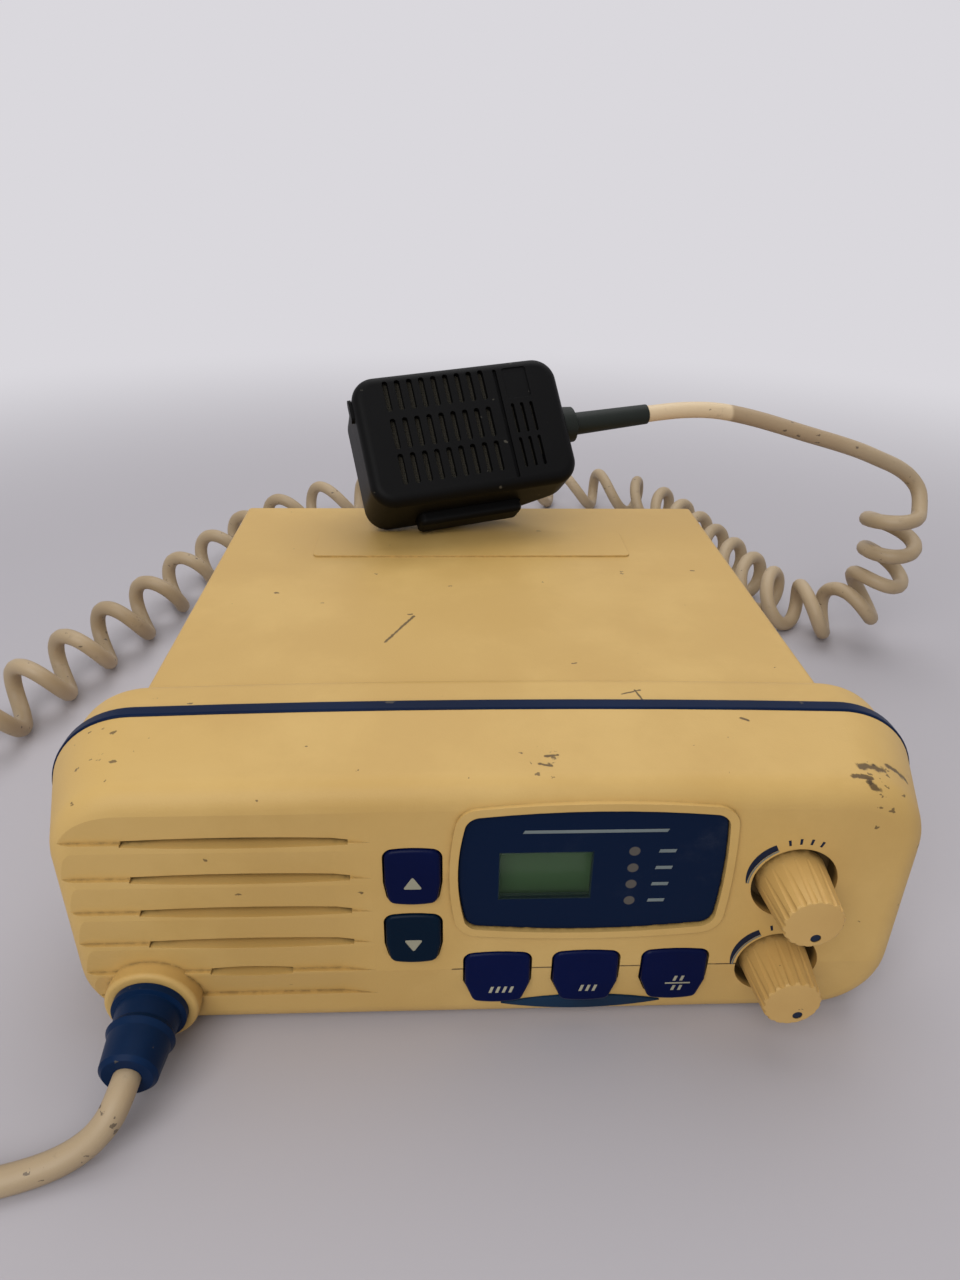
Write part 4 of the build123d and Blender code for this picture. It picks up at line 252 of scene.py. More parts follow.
def build_grain() -> Effect:
    """Fine texture of a moulded surface, with slow waves under it.

    Returns:
        The group.
    """
    effect = Effect("Mould grain", (("Place", VECTOR, None), ("Fineness", FLOAT, 1.0)),
                    (("Height", FLOAT), ("Tone", FLOAT)))
    w, given, leaving = effect.start()
    place = w.scaled(given["Place"], given["Fineness"])
    fine = w.noise(place, 0.45 * MM, 3.0)
    waves = w.noise(place, 9 * MM, 2.0)
    height = w.plus(w.times(fine, 0.35), w.times(waves, 0.65))
    w.link(height, leaving, "Height")
    w.link(w.noise(place, 30 * MM, 5.0), leaving, "Tone")
    return effect


def build_specks() -> Effect:
    """Scattered dirt specks. Cover is the share of cells that hold one.

    Returns:
        The group.
    """
    effect = Effect("Dirt specks", (("Place", VECTOR, None), ("Size", FLOAT, 1.5 * MM),
                                    ("Cover", FLOAT, 0.1)), (("Mask", FLOAT),))
    w, given, leaving = effect.start()
    wobble = w.add("TexNoise", {"Vector": given["Place"], "Scale": 1 / (0.7 * MM), "Detail": 5.0})
    shift = w.vector("SUBTRACT", wobble.outputs["Color"], (0.5, 0.5, 0.5))
    place = w.vector("ADD", given["Place"], w.scaled(shift, 1.5 * MM))
    place = w.vector("MULTIPLY", place, (0.55, 1.0, 1.0))
    scale = w.math("DIVIDE", 1.0, given["Size"])
    cells = w.add("TexVoronoi", {"Vector": place, "Scale": scale})
    parts = w.add("SeparateColor", {0: cells.outputs["Color"]}).outputs
    reach = w.plus(w.times(parts[1], 0.3), 0.08)
    inside = w.step(w.math("SUBTRACT", reach, cells.outputs["Distance"]), 0.0, 0.08)
    chosen = w.math("LESS_THAN", parts[0], given["Cover"])
    w.link(w.times(inside, chosen), leaving, "Mask")
    return effect


def build_near() -> Effect:
    """How near a place is to a centre, from 1 there to 0 at the reach.

    Returns:
        The group.
    """
    effect = Effect("Nearness", (("Place", VECTOR, None), ("Centre", VECTOR, None),
                                 ("Reach", FLOAT, 0.01)), (("Share", FLOAT),))
    w, given, leaving = effect.start()
    far = w.measure("DISTANCE", given["Place"], given["Centre"])
    share = w.math("SUBTRACT", 1.0, w.math("DIVIDE", far, given["Reach"]))
    w.link(w.math("MAXIMUM", share, 0.0), leaving, "Share")
    return effect


def build_scratch() -> Effect:
    """A straight scratch with ragged edges between two places.

    Returns:
        The group.
    """
    effect = Effect("Scratch", (("Place", VECTOR, None), ("Start", VECTOR, None), ("End", VECTOR, None),
                                ("Width", FLOAT, 0.4 * MM), ("Ragged", FLOAT, 1.5 * MM)),
                    (("Mask", FLOAT),))
    w, given, leaving = effect.start()
    ragged = w.noise(given["Place"], 1.4 * MM, 5.0)
    run = w.vector("SUBTRACT", given["End"], given["Start"])
    away = w.vector("SUBTRACT", given["Place"], given["Start"])
    share = w.math("DIVIDE", w.measure("DOT_PRODUCT", away, run), w.measure("DOT_PRODUCT", run, run))
    held = w.add("Clamp", {"Value": share}).outputs[0]
    far = w.measure("DISTANCE", away, w.scaled(run, held))
    edge = w.plus(far, w.times(w.math("SUBTRACT", ragged, 0.5), given["Ragged"]))
    mask = w.math("SUBTRACT", 1.0, w.math("DIVIDE", edge, given["Width"]))
    w.link(w.step(mask, 0.0, 0.6), leaving, "Mask")
    return effect


def build_window() -> Effect:
    """A soft-edged rectangle or round window in the plane across Y.

    Returns:
        The group.
    """
    effect = Effect("Window", (("Place", VECTOR, None), ("Centre", VECTOR, None), ("Half", VECTOR, None),
                               ("Round", FLOAT, 0.0), ("Soft", FLOAT, 0.1 * MM)), (("Mask", FLOAT),))
    w, given, leaving = effect.start()
    away = w.vector("ABSOLUTE", w.vector("SUBTRACT", given["Place"], given["Centre"]))
    beyond = w.vector("SUBTRACT", away, given["Half"])
    parts = w.add("SeparateXYZ", {0: beyond}).outputs
    square = w.math("MAXIMUM", parts[0], parts[2])
    flat = w.vector("MULTIPLY", away, (1.0, 0.0, 1.0))
    half = w.add("SeparateXYZ", {0: given["Half"]}).outputs
    circle = w.math("SUBTRACT", w.measure("LENGTH", flat), half[0])
    chosen = w.add("Mix", {0: given["Round"], 2: square, 3: circle}).outputs[0]
    inside = w.math("DIVIDE", w.times(chosen, -1.0), given["Soft"])
    w.link(w.step(inside, -0.5, 0.5), leaving, "Mask")
    return effect


def build_weave() -> Effect:
    """Crossing threads of a woven cloth.

    Returns:
        The group.
    """
    effect = Effect("Weave", (("Place", VECTOR, None), ("Pitch", FLOAT, 0.6 * MM)),
                    (("Height", FLOAT), ("Gap", FLOAT)))
    w, given, leaving = effect.start()
    scale = w.math("DIVIDE", 2 * math.pi / 20, given["Pitch"])
    bands = [w.add("TexWave", {"Vector": given["Place"], "Scale": scale}, bands_direction=axis)
             for axis in ("X", "Z")]
    height = w.math("MAXIMUM", bands[0].outputs["Fac"], bands[1].outputs["Fac"])
    w.link(height, leaving, "Height")
    w.link(w.step(height, 0.5, 0.1), leaving, "Gap")
    return effect


GRAIN = build_grain()
SPECKS = build_specks()
NEAR = build_near()
SCRATCH = build_scratch()
WINDOW = build_window()
WEAVE = build_weave()
CREASE_DIRT_AND_SHADE = build_crease_dirt_and_shade()


# ---------------------------------------------------------------- finishes
@dataclass(frozen=True)
class Finish:
    """A plain finish, and the base of all others."""

    name: str
    slot: Slot
    colour: Colour
    roughness: float = 0.5
    edge: float = 0.15 * MM          # radius that a sharp edge seems to have
    made: dict = field(default_factory=dict, repr=False, compare=False)

    def material(self) -> bpy.types.Material:
        """Make the finish's material on first use.

        Returns:
            The material.
        """
        if self.name not in self.made:
            material = bpy.data.materials.new(self.name)
            material.use_nodes = True
            material.node_tree.nodes.clear()
            w = Wiring(material.node_tree)
            place = w.add("TexCoord").outputs["Object"]
            shader = w.add("BsdfPrincipled", {"Base Color": self.colour, "Roughness": self.roughness})
            self.dress(w, place, shader)
            w.add("OutputMaterial", {0: shader.outputs[0]})
            self.made[self.name] = material
        return self.made[self.name]

    def dress(self, w: Wiring, place: bpy.types.NodeSocket, shader: bpy.types.Node) -> None:
        """Add what is special about this finish.

        Args:
            w: the material's wiring.
            place: where a point of the surface lies.
            shader: the shader that the finish sets.
        """
        self.relief(w, shader, w.noise(place, 0.5 * MM), 0.02 * MM)

    def relief(self, w: Wiring, shader: bpy.types.Node, height: bpy.types.NodeSocket,
               depth: float) -> None:
        """Give the shader a bump over softened edges.

        Args:
            w: the material's wiring.
            shader: the shader that gets the bump.
            height: the bump's pattern, about 0 to 1.
            depth: how deep the pattern goes, in metres.
        """
        soft = w.add("Bevel", {"Radius": self.edge}, samples=4).outputs[0]
        bump = w.add("Bump", {"Strength": 1.0, "Distance": depth, "Height": height, "Normal": soft})
        w.link(bump.outputs[0], shader, "Normal")


@dataclass(frozen=True)
class Moulded(Finish):
    """Moulded plastic or rubber: mottled tone, scratches, dirt specks, crease dirt with painted shade,
    painted shade in wells.
    """

    grain_depth: float = 0.05 * MM
    fineness: float = 1.0
    light: Colour = (1.0, 1.0, 1.0, 1.0)
    dark: Colour = (0.0, 0.0, 0.0, 1.0)
    mottle: float = 0.1
    # colour of the dirt specks, and of the dirt and painted shade in creases
    dirt: Colour = (0.02, 0.015, 0.01, 1.0)
    cover: float = 0.0
    speck: float = 1.6 * MM
    clusters: tuple[tuple[Place, float, float], ...] = ()
    scratches: tuple[tuple[Place, Place, float, float], ...] = ()
    # colour of the scratches, and of the painted shade in the wells
    scratch_and_shade_colour: Colour = (0.03, 0.02, 0.01, 1.0)
    gloss: float = 0.0
    shine: float = 0.5
    # dirt and painted shade in creases: how strong it is, and how far the occlusion that finds them reaches
    crease: float = 0.0
    crease_reach: float = 1.5 * MM
    wells: tuple[tuple[float, float], ...] = ()
    well_radius: float = 8.7 * MM
    well_shade_depths: tuple[float, float, float] = mm(-94.6, -92.4, -86.0)    # Y of no shade, of full painted shade, and of its end

    def dress(self, w: Wiring, place: bpy.types.NodeSocket, shader: bpy.types.Node) -> None:
        """Mottle the colour, scatter dirt, add crease dirt and painted shade, shade the wells, and cut the
        scratches.

        Args:
            w: the material's wiring.
            place: where a point of the surface lies.
            shader: the shader that the finish sets.
        """
        grain = GRAIN.use(w, Place=place, Fineness=self.fineness)
        tone = w.step(grain["Tone"], 0.3, 0.7)
        colour = w.mix(w.times(tone, self.mottle), self.colour, self.light)
        low = w.step(w.noise(place, 55 * MM, 6.0, 0.65), 0.62, 0.42)
        colour = w.mix(w.times(low, self.mottle), colour, self.dark)
        cover: object = self.cover
        for centre, reach, amount in self.clusters:
            near = NEAR.use(w, Place=place, Centre=centre, Reach=reach)["Share"]
            cover = w.plus(cover, w.times(near, amount))
        if self.cover or self.clusters:
            dirt = SPECKS.use(w, Place=place, Size=self.speck, Cover=cover)["Mask"]
            colour = w.mix(w.times(dirt, 0.8), colour, self.dirt)
        # dirt and painted shade where the surface is shut in by its surroundings
        if self.crease:
            clear = w.add("AmbientOcclusion", {"Distance": self.crease_reach}, samples=6).outputs["AO"]
            shut = CREASE_DIRT_AND_SHADE.use(w, Place=place, Open=clear, Amount=self.crease)["Mask"]
            colour = w.mix(shut, colour, self.dirt)
        # painted shade: the knobs' wells are darkened deep inside, where the gap lies in shade
        for x, z in self.wells:
            hole = WINDOW.use(w, Place=place, Centre=(x, 0.0, z), Half=(self.well_radius, 1.0, 0.0),
                              Round=1.0)["Mask"]
            depth = w.add("SeparateXYZ", {0: place}).outputs[1]
            rim, dim, end = self.well_shade_depths
            deep = w.times(w.step(depth, rim, dim), w.math("LESS_THAN", depth, end))
            shut = w.times(hole, deep)
            colour = w.mix(w.times(shut, 0.85), colour, self.scratch_and_shade_colour)
        height = grain["Height"]
        for start, end, width, ragged in self.scratches:
            cut = SCRATCH.use(w, Place=place, Start=start, End=end, Width=width, Ragged=ragged)["Mask"]
            colour = w.mix(w.times(cut, 0.85), colour, self.scratch_and_shade_colour)
            height = w.math("SUBTRACT", height, cut)
        w.link(colour, shader, "Base Color")
        rough = w.plus(w.times(grain["Tone"], 0.16), self.roughness - 0.08)
        w.link(rough, shader, "Roughness")
        shader.inputs["Specular IOR Level"].default_value = self.shine
        shader.inputs["Coat Weight"].default_value = self.gloss
        shader.inputs["Coat Roughness"].default_value = 0.08
        self.relief(w, shader, height, self.grain_depth)


@dataclass(frozen=True)
class Metal(Finish):
    """Bare or plated metal with fine drawing lines and dull patches."""

    tarnish: Colour = (0.1, 0.08, 0.06, 1.0)
    tarnish_share: float = 0.25
    line_depth: float = 0.02 * MM

    def dress(self, w: Wiring, place: bpy.types.NodeSocket, shader: bpy.types.Node) -> None:
        """Dull the metal in patches and draw fine lines along X.

        Args:
            w: the material's wiring.
            place: where a point of the surface lies.
            shader: the shader that the finish sets.
        """
        shader.inputs["Metallic"].default_value = 1.0
        lines = w.add("Mapping", {"Vector": place, "Scale": (0.05, 1.0, 1.0)}).outputs[0]
        drawn = w.noise(lines, 0.3 * MM, 3.0)
        dull = w.step(w.noise(place, 6 * MM, 5.0), 0.45, 0.75)
        colour = w.mix(w.times(dull, self.tarnish_share), self.colour, self.tarnish)
        w.link(colour, shader, "Base Color")
        rough = w.plus(w.times(dull, 0.25), w.times(drawn, 0.1))
        w.link(w.plus(rough, self.roughness - 0.05), shader, "Roughness")
        self.relief(w, shader, drawn, self.line_depth)


@dataclass(frozen=True)
class Woven(Finish):
    """Open cloth behind a grille."""

    pitch: float = 0.6 * MM
    gap: Colour = (0.0, 0.0, 0.0, 1.0)

    def dress(self, w: Wiring, place: bpy.types.NodeSocket, shader: bpy.types.Node) -> None:
        """Cross the threads and darken what lies between them.

        Args:
            w: the material's wiring.
            place: where a point of the surface lies.
            shader: the shader that the finish sets.
        """
        weave = WEAVE.use(w, Place=place, Pitch=self.pitch)
        w.link(w.mix(weave["Gap"], self.colour, self.gap), shader, "Base Color")
        self.relief(w, shader, weave["Height"], 0.12 * MM)


@dataclass(frozen=True)
class Board(Finish):
    """Circuit board with copper tracks under its green lacquer."""

    track: Colour = (0.05, 0.2, 0.06, 1.0)

    def dress(self, w: Wiring, place: bpy.types.NodeSocket, shader: bpy.types.Node) -> None:
        """Draw tracks as the borders of square cells, and let them stand a little proud.

        Args:
            w: the material's wiring.
            place: where a point of the surface lies.
            shader: the shader that the finish sets.
        """
        cells = w.add("TexVoronoi", {"Vector": place, "Scale": 1 / (3.2 * MM)}, distance="CHEBYCHEV")
        track = w.step(w.math("FRACT", w.times(cells.outputs["Distance"], 3.0)), 0.55, 0.62)
        w.link(w.mix(track, self.colour, self.track), shader, "Base Color")
        shader.inputs["Coat Weight"].default_value = 0.5
        self.relief(w, shader, track, 0.04 * MM)


@dataclass(frozen=True)
class PrintedLens(Finish):
    """Glossy lens with dark print that leaves a rectangular window open, and has smoky round lamps."""

    view: tuple[float, float, float, float] = (0.0, 0.0, 0.0, 0.0)       # left, right, low and high edge
    lamps: tuple[tuple[float, float], ...] = ()
    lamp_radius: float = 1.05 * MM
    lamp: Colour = (0.1, 0.09, 0.08, 1.0)
    glass: Colour = (0.05, 0.08, 0.05, 1.0)
    pane: float = 0.2
    shine: float = 0.08

    def dress(self, w: Wiring, place: bpy.types.NodeSocket, shader: bpy.types.Node) -> None:
        """Open the window in the print, tint the lamps' places, and wipe faint dust over all of it.

        Args:
            w: the material's wiring.
            place: where a point of the surface lies.
            shader: the shader that the finish sets.
        """
        left, right, low, high = self.view
        centre = ((left + right) / 2, 0.0, (low + high) / 2)
        half = ((right - left) / 2, 1.0, (high - low) / 2)
        opened = WINDOW.use(w, Place=place, Centre=centre, Half=half, Soft=0.5 * MM)["Mask"]
        dust = w.step(w.noise(place, 14 * MM, 8.0, 0.7), 0.55, 0.8)
        colour = w.mix(w.times(dust, 0.015), self.colour, (0.6, 0.6, 0.6, 1.0))
        for x, z in self.lamps:
            spot = WINDOW.use(w, Place=place, Centre=(x, 0.0, z), Half=(self.lamp_radius, 1.0, 0.0),
                              Round=1.0, Soft=0.25 * MM)["Mask"]
            colour = w.mix(spot, colour, self.lamp)
        w.link(w.mix(opened, colour, self.glass), shader, "Base Color")
        alpha = w.math("SUBTRACT", 1.0, w.times(opened, 1.0 - self.pane))
        w.link(alpha, shader, "Alpha")
        w.link(w.plus(self.roughness, w.times(dust, 0.12)), shader, "Roughness")
        shader.inputs["Specular IOR Level"].default_value = self.shine
        self.relief(w, shader, w.noise(place, 40 * MM, 1.0), 0.03 * MM)


@dataclass(frozen=True)
class Screen(Finish):
    """Reflective display panel, with painted shade along its lower edge."""

    low: float = 0.0
    dark: Colour = (0.0, 0.0, 0.0, 1.0)

    def dress(self, w: Wiring, place: bpy.types.NodeSocket, shader: bpy.types.Node) -> None:
        """Paint shade on the panel by height, darkest at its lower edge, with a faint grid of its cells.

        Args:
            w: the material's wiring.
            place: where a point of the surface lies.
            shader: the shader that the finish sets.
        """
        height = w.add("SeparateXYZ", {0: place}).outputs[2]
        # painted shade along the panel's lower edge
        shaded = w.step(height, self.low + 2.2 * MM, self.low + 0.9 * MM)
        upright = w.add("Mapping", {"Vector": place, "Rotation": (math.pi / 2, 0, 0)}).outputs[0]
        cells = w.add("TexBrick", {"Vector": upright, "Scale": 1 / (3 * MM), "Mortar Size": 0.01})
        colour = w.mix(w.times(cells.outputs["Fac"], 0.12), self.colour, self.dark)
        colour = w.mix(w.times(shaded, 0.6), colour, self.dark)
        w.link(colour, shader, "Base Color")
        shader.inputs["Coat Weight"].default_value = 0.4


@dataclass(frozen=True)
class Jacket(Finish):
    """Jacket of the cord: yellowed, specked, dirty near the gland and paler near the microphone."""

    yellow: Colour = (0.5, 0.4, 0.3, 1.0)
    pale: Colour = (0.8, 0.75, 0.65, 1.0)
    pale_end: Place = (0.0, 0.0, 0.0)
    pale_reach: float = 0.03
    tan: Colour = (0.3, 0.2, 0.15, 1.0)
    tan_reach: float = 0.07
    soiled_end: Place = (0.0, 0.0, 0.0)
    dirt: Colour = (0.03, 0.02, 0.015, 1.0)

    def dress(self, w: Wiring, place: bpy.types.NodeSocket, shader: bpy.types.Node) -> None:
        """Tint the jacket in stretches and scatter its specks.

        Args:
            w: the material's wiring.
            place: where a point of the surface lies.
            shader: the shader that the finish sets.
        """
        aged = w.step(w.noise(place, 45 * MM, 3.0), 0.35, 0.65)
        colour = w.mix(w.times(aged, 0.7), self.colour, self.yellow)
        far = w.measure("DISTANCE", place, self.pale_end)
        stained = w.step(far, self.tan_reach + 12 * MM, self.tan_reach - 12 * MM)
        colour = w.mix(w.times(stained, 0.85), colour, self.tan)
        colour = w.mix(w.step(far, self.pale_reach + 1.5 * MM, self.pale_reach), colour, self.pale)
        patchy = w.step(w.noise(place, 30 * MM, 2.0), 0.45, 0.65)
        cover = w.plus(w.times(patchy, 0.22), 0.03)
        foot = NEAR.use(w, Place=place, Centre=self.soiled_end, Reach=40 * MM)["Share"]
        cover = w.plus(cover, w.times(foot, 0.4))
        dirt = SPECKS.use(w, Place=place, Size=1.3 * MM, Cover=cover)["Mask"]
        colour = w.mix(w.times(dirt, 0.75), colour, self.dirt)
        smear = w.step(w.noise(place, 5 * MM, 8.0, 0.7), 0.58, 0.72)
        colour = w.mix(w.times(smear, 0.22), colour, self.dirt)
        w.link(colour, shader, "Base Color")
        grain = GRAIN.use(w, Place=place, Fineness=1.4)
        w.link(w.plus(w.times(grain["Tone"], 0.2), self.roughness - 0.1), shader, "Roughness")
        bump = w.add("Bump", {"Strength": 1.0, "Distance": 0.1 * MM, "Height": grain["Height"]})
        w.link(bump.outputs[0], shader, "Normal")


# worn places on the bezel: centre, reach and extra share of specks
BEZEL_WEAR = (
    (mm(10, -86, 62.3), 6 * MM, 0.9),
    (mm(72, -90, 60), 7 * MM, 1.1),
    (mm(81, -88, 50), 12 * MM, 0.2),
    (mm(-72, -80, 62), 16 * MM, 0.22),
    (mm(45, -76, 63), 10 * MM, 0.25),
)
# flakes and scratches: start, end, half width and raggedness
BEZEL_MARKS = (
    (mm(69.2, -87.6, 61.2), mm(73.5, -87.6, 60.2), 1.15 * MM, 2.2 * MM),
    (mm(75.7, -85.7, 59.6), mm(79.7, -86.4, 56.5), 0.85 * MM, 1.9 * MM),
    (mm(67.0, -90.2, 60.8), mm(70.0, -90.5, 60.5), 0.6 * MM, 1.8 * MM),
    (mm(69.5, -91.4, 60.1), mm(70.9, -92.2, 59.2), 0.9 * MM, 2.2 * MM),
    (mm(9.5, -85.2, 62.4), mm(11.9, -84.9, 62.4), 0.45 * MM, 0.9 * MM),
    (mm(8.3, -87.3, 62.2), mm(10.5, -87.9, 62.1), 0.4 * MM, 0.9 * MM),
    (mm(50.1, -74.1, 63.2), mm(51.3, -74.7, 63.1), 0.45 * MM, 0.6 * MM),
    (mm(-8.0, -95.3, 17.3), mm(51.0, -95.3, 17.3), 0.22 * MM, 0.25 * MM),
)
CASE_MARKS = (
    (mm(-23.4, -35.8, 60), mm(-16.9, -22.2, 60), 0.5 * MM, 0.9 * MM),
    (mm(27.7, -64.8, 63.2), mm(31.8, -63.2, 63.2), 0.3 * MM, 0.5 * MM),
    (mm(30.7, -63.2, 63.2), mm(31.5, -66.7, 63.2), 0.3 * MM, 0.5 * MM),
    (mm(-73.0, -56.5, 60.1), mm(73.0, -56.5, 60.1), 0.3 * MM, 0.6 * MM),
)

CREAM = Moulded("Aged cream plastic", Slot.CREAM, shade(205, 168, 99), 0.52, shine=0.35,
                grain_depth=0.09 * MM, light=shade(216, 182, 116), dark=shade(188, 150, 84), mottle=0.35,
                dirt=shade(88, 70, 42), cover=0.008, speck=1.4 * MM,
                scratches=CASE_MARKS, scratch_and_shade_colour=shade(74, 60, 38), crease=0.75)
# its knob wells get painted shade in the same colour as its scratches
BEZEL_CREAM = replace(CREAM, name="Worn cream plastic", clusters=BEZEL_WEAR, scratches=BEZEL_MARKS,
                      scratch_and_shade_colour=shade(62, 46, 28),
                      wells=tuple((KNOB_X, height) for height in KNOB_HEIGHTS))
# its creases give the knob's flutes painted shade as well as dirt
KNOB_CREAM = Moulded("Handled cream plastic", Slot.CREAM, shade(204, 165, 98), 0.45, shine=0.35,
                     grain_depth=0.04 * MM, light=shade(214, 178, 112), dark=shade(184, 144, 82),
                     mottle=0.35, dirt=shade(96, 72, 38), cover=0.015, speck=1.1 * MM, crease=0.9,
                     crease_reach=2.5 * MM)
NAVY_RUBBER = Moulded("Dark blue rubber", Slot.NAVY_RUBBER, shade(5, 24, 54), 0.42, shine=0.07,
                      light=shade(16, 38, 72), dark=shade(3, 14, 36), mottle=0.3,
                      dirt=shade(84, 80, 74), cover=0.02, grain_depth=0.03 * MM)
NAVY_LENS = PrintedLens("Lens with blue print", Slot.NAVY_GLOSS, shade(5, 24, 52), 0.2,
                        view=mm(0.9, 18.5, 35.6, 46.7),
                        lamps=tuple((LAMP_X, height) for height in LAMP_HEIGHTS))
NAVY_BOOT = Moulded("Dark blue boot", Slot.NAVY_RUBBER, shade(8, 34, 68), 0.4, shine=0.08,
                    light=shade(22, 52, 88), dark=shade(4, 20, 46), mottle=0.35,
                    dirt=shade(90, 84, 74), cover=0.02, speck=1.0 * MM, grain_depth=0.03 * MM)
NAVY_BADGE = Moulded("Dark blue plate", Slot.NAVY_GLOSS, shade(14, 42, 68), 0.34, shine=0.12,
                     light=shade(28, 66, 96), dark=shade(8, 26, 46), mottle=0.35, grain_depth=0.02 * MM)
BLUE_KEY = Moulded("Blue key", Slot.BLUE_KEY, shade(1, 11, 54), 0.3, shine=0.06, gloss=0.04,
                   light=shade(6, 22, 76), dark=shade(1, 6, 38), mottle=0.25, grain_depth=0.02 * MM)
TEAL_KEY = Moulded("Faded blue key", Slot.TEAL_KEY, shade(1, 22, 42), 0.34, shine=0.06, gloss=0.04,
                   light=shade(8, 38, 58), dark=shade(1, 13, 28), mottle=0.25, grain_depth=0.02 * MM)
BLACK = Moulded("Black plastic", Slot.BLACK, shade(11, 11, 12), 0.46, shine=0.07, light=shade(20, 20, 20),
                dark=shade(8, 8, 8), mottle=0.35, dirt=shade(80, 77, 70), cover=0.015, speck=1.0 * MM,
                grain_depth=0.06 * MM)
BLACK_RUBBER = Moulded("Black rubber", Slot.BLACK_RUBBER, shade(25, 30, 26), 0.55, shine=0.2,
                       light=shade(40, 46, 42), dark=shade(13, 16, 14), mottle=0.3, grain_depth=0.05 * MM)
WHITE_INK = Moulded("Pale ink", Slot.WHITE, shade(160, 156, 134), 0.5, light=shade(186, 182, 160),
                    dark=shade(118, 114, 96), mottle=0.35, grain_depth=0.01 * MM)
GREY_INK = Moulded("Grey ink", Slot.WHITE, shade(112, 122, 122), 0.5, light=shade(138, 148, 146),
                   dark=shade(76, 86, 90), mottle=0.35, grain_depth=0.01 * MM)
BLUE_INK = Moulded("Blue ink", Slot.NAVY_GLOSS, shade(12, 28, 52), 0.4, shine=0.2, light=shade(36, 54, 78),
                   dark=shade(8, 18, 38), mottle=0.35, grain_depth=0.01 * MM)
WHITE_PLASTIC = Moulded("White plastic", Slot.WHITE, shade(214, 214, 206), 0.5, light=shade(236, 236, 230),
                        dark=shade(176, 174, 164), mottle=0.3)
SILICONE = Moulded("Keypad silicone", Slot.SILICONE, shade(150, 152, 156), 0.6, light=shade(176, 178, 182),
                   dark=shade(116, 118, 122), mottle=0.3)
CHIP = Moulded("Lamp chip", Slot.CHIP, shade(206, 196, 150), 0.3, gloss=0.5, light=shade(228, 220, 180),
               dark=shade(160, 148, 100), mottle=0.3)
MAGNET = Moulded("Sintered magnet", Slot.MAGNET, shade(52, 52, 55), 0.55, light=shade(80, 80, 82),
                 dark=shade(30, 30, 32), mottle=0.4)
RIBBON = Moulded("Ribbon cable", Slot.RIBBON, shade(168, 168, 172), 0.45, light=shade(196, 196, 200),
                 dark=shade(130, 130, 136), mottle=0.3)
PAPER = Moulded("Speaker paper", Slot.PAPER, shade(44, 40, 36), 0.85, light=shade(66, 60, 54),
                dark=shade(26, 23, 20), mottle=0.5, grain_depth=0.15 * MM)
CLOTH = Woven("Speaker cloth", Slot.CLOTH, shade(48, 44, 34), 0.9, gap=shade(12, 11, 9))
STEEL = Metal("Zinc plated steel", Slot.STEEL, shade(184, 184, 182), 0.34, tarnish=shade(120, 104, 84))
NICKEL = Metal("Nickel plate", Slot.NICKEL, shade(198, 192, 180), 0.22, tarnish=shade(134, 122, 100))
BRASS = Metal("Brass", Slot.BRASS, shade(206, 168, 92), 0.28, tarnish=shade(120, 86, 44))
ALUMINIUM = Metal("Cast aluminium", Slot.ALUMINIUM, shade(150, 152, 155), 0.46, tarnish=shade(96, 96, 98),
                  tarnish_share=0.5, line_depth=0.05 * MM)
TINPLATE = Metal("Tinplate", Slot.TINPLATE, shade(190, 192, 190), 0.25, tarnish=shade(140, 138, 128))
BOARD = Board("Circuit board", Slot.BOARD, shade(20, 74, 44), 0.35, track=shade(52, 118, 62))
PIPE = Moulded("Frosted pipe", Slot.CLEAR, shade(126, 120, 112), 0.35, light=shade(146, 140, 130),
               dark=shade(98, 92, 84), mottle=0.4, gloss=0.3)
SCREEN = Screen("Display panel", Slot.LCD, shade(78, 112, 70), 0.3, low=32.4 * MM, dark=shade(24, 36, 24))
JACKET = Jacket("Cord jacket", Slot.CORD, shade(182, 160, 128), 0.5, yellow=shade(156, 134, 103),
                pale=shade(218, 194, 158), pale_end=mm(52, 55.5, 91.5), pale_reach=31 * MM,
                tan=shade(164, 140, 109), tan_reach=76 * MM, dirt=shade(66, 54, 40),
                soiled_end=mm(-72, -120, 10))


# ---------------------------------------------------------------- making pieces
IN_FRONT = -0.2                      # Y of a place in front of every solid


def choose_only(piece: bpy.types.Object) -> None:
    """Select one object, and make it the active one.

    Args:
        piece: the object.
    """
    bpy.ops.object.select_all(action="DESELECT")
    piece.select_set(True)
    bpy.context.view_layer.objects.active = piece


def paint(finish: Finish, *nodes: str) -> None:
    """Give some solids a finish where they are.

    Args:
        finish: the finish.
        nodes: the solids' names.
    """
    for node in nodes:
        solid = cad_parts[node]
        if not solid.material_slots:
            solid.data.materials.append(None)
        for slot in solid.material_slots:
            slot.material = finish.material()
        log.info("%s: %s", node, finish.name)


def finish_piece(piece: bpy.types.Object, finish: Finish, body: str = "radio") -> None:
    """Finish a new piece.

    Args:
        piece: the piece.
        finish: what gives it its material.
        body: the body that it rides on.
    """
    piece.data.materials.append(finish.material())
    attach(piece, body)
    log.info("%s: %s on %s", piece.name, finish.name, body)


def surface_tree(node: str) -> BVHTree:
    """Make a search tree of a solid's faces.

    Args:
        node: the solid's name.

    Returns:
        The tree.
    """
    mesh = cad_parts[node].data
    return BVHTree.FromPolygons([vertex.co for vertex in mesh.vertices],
                                [tuple(face.vertices) for face in mesh.polygons])


def surface_y(tree: BVHTree, x: float, z: float) -> float:
    """Find how far forward a solid's front lies.

    Args:
        tree: the solid's search tree.
        x: where to look, to the right.
        z: where to look, upwards.

    Returns:
        The front's Y.
    """
    place = tree.ray_cast(Vector((x, IN_FRONT, z)), Vector((0.0, 1.0, 0.0)))[0]
    if place is None:
        raise ValueError(f"no surface at {x:.4f}, {z:.4f}")
    return place.y


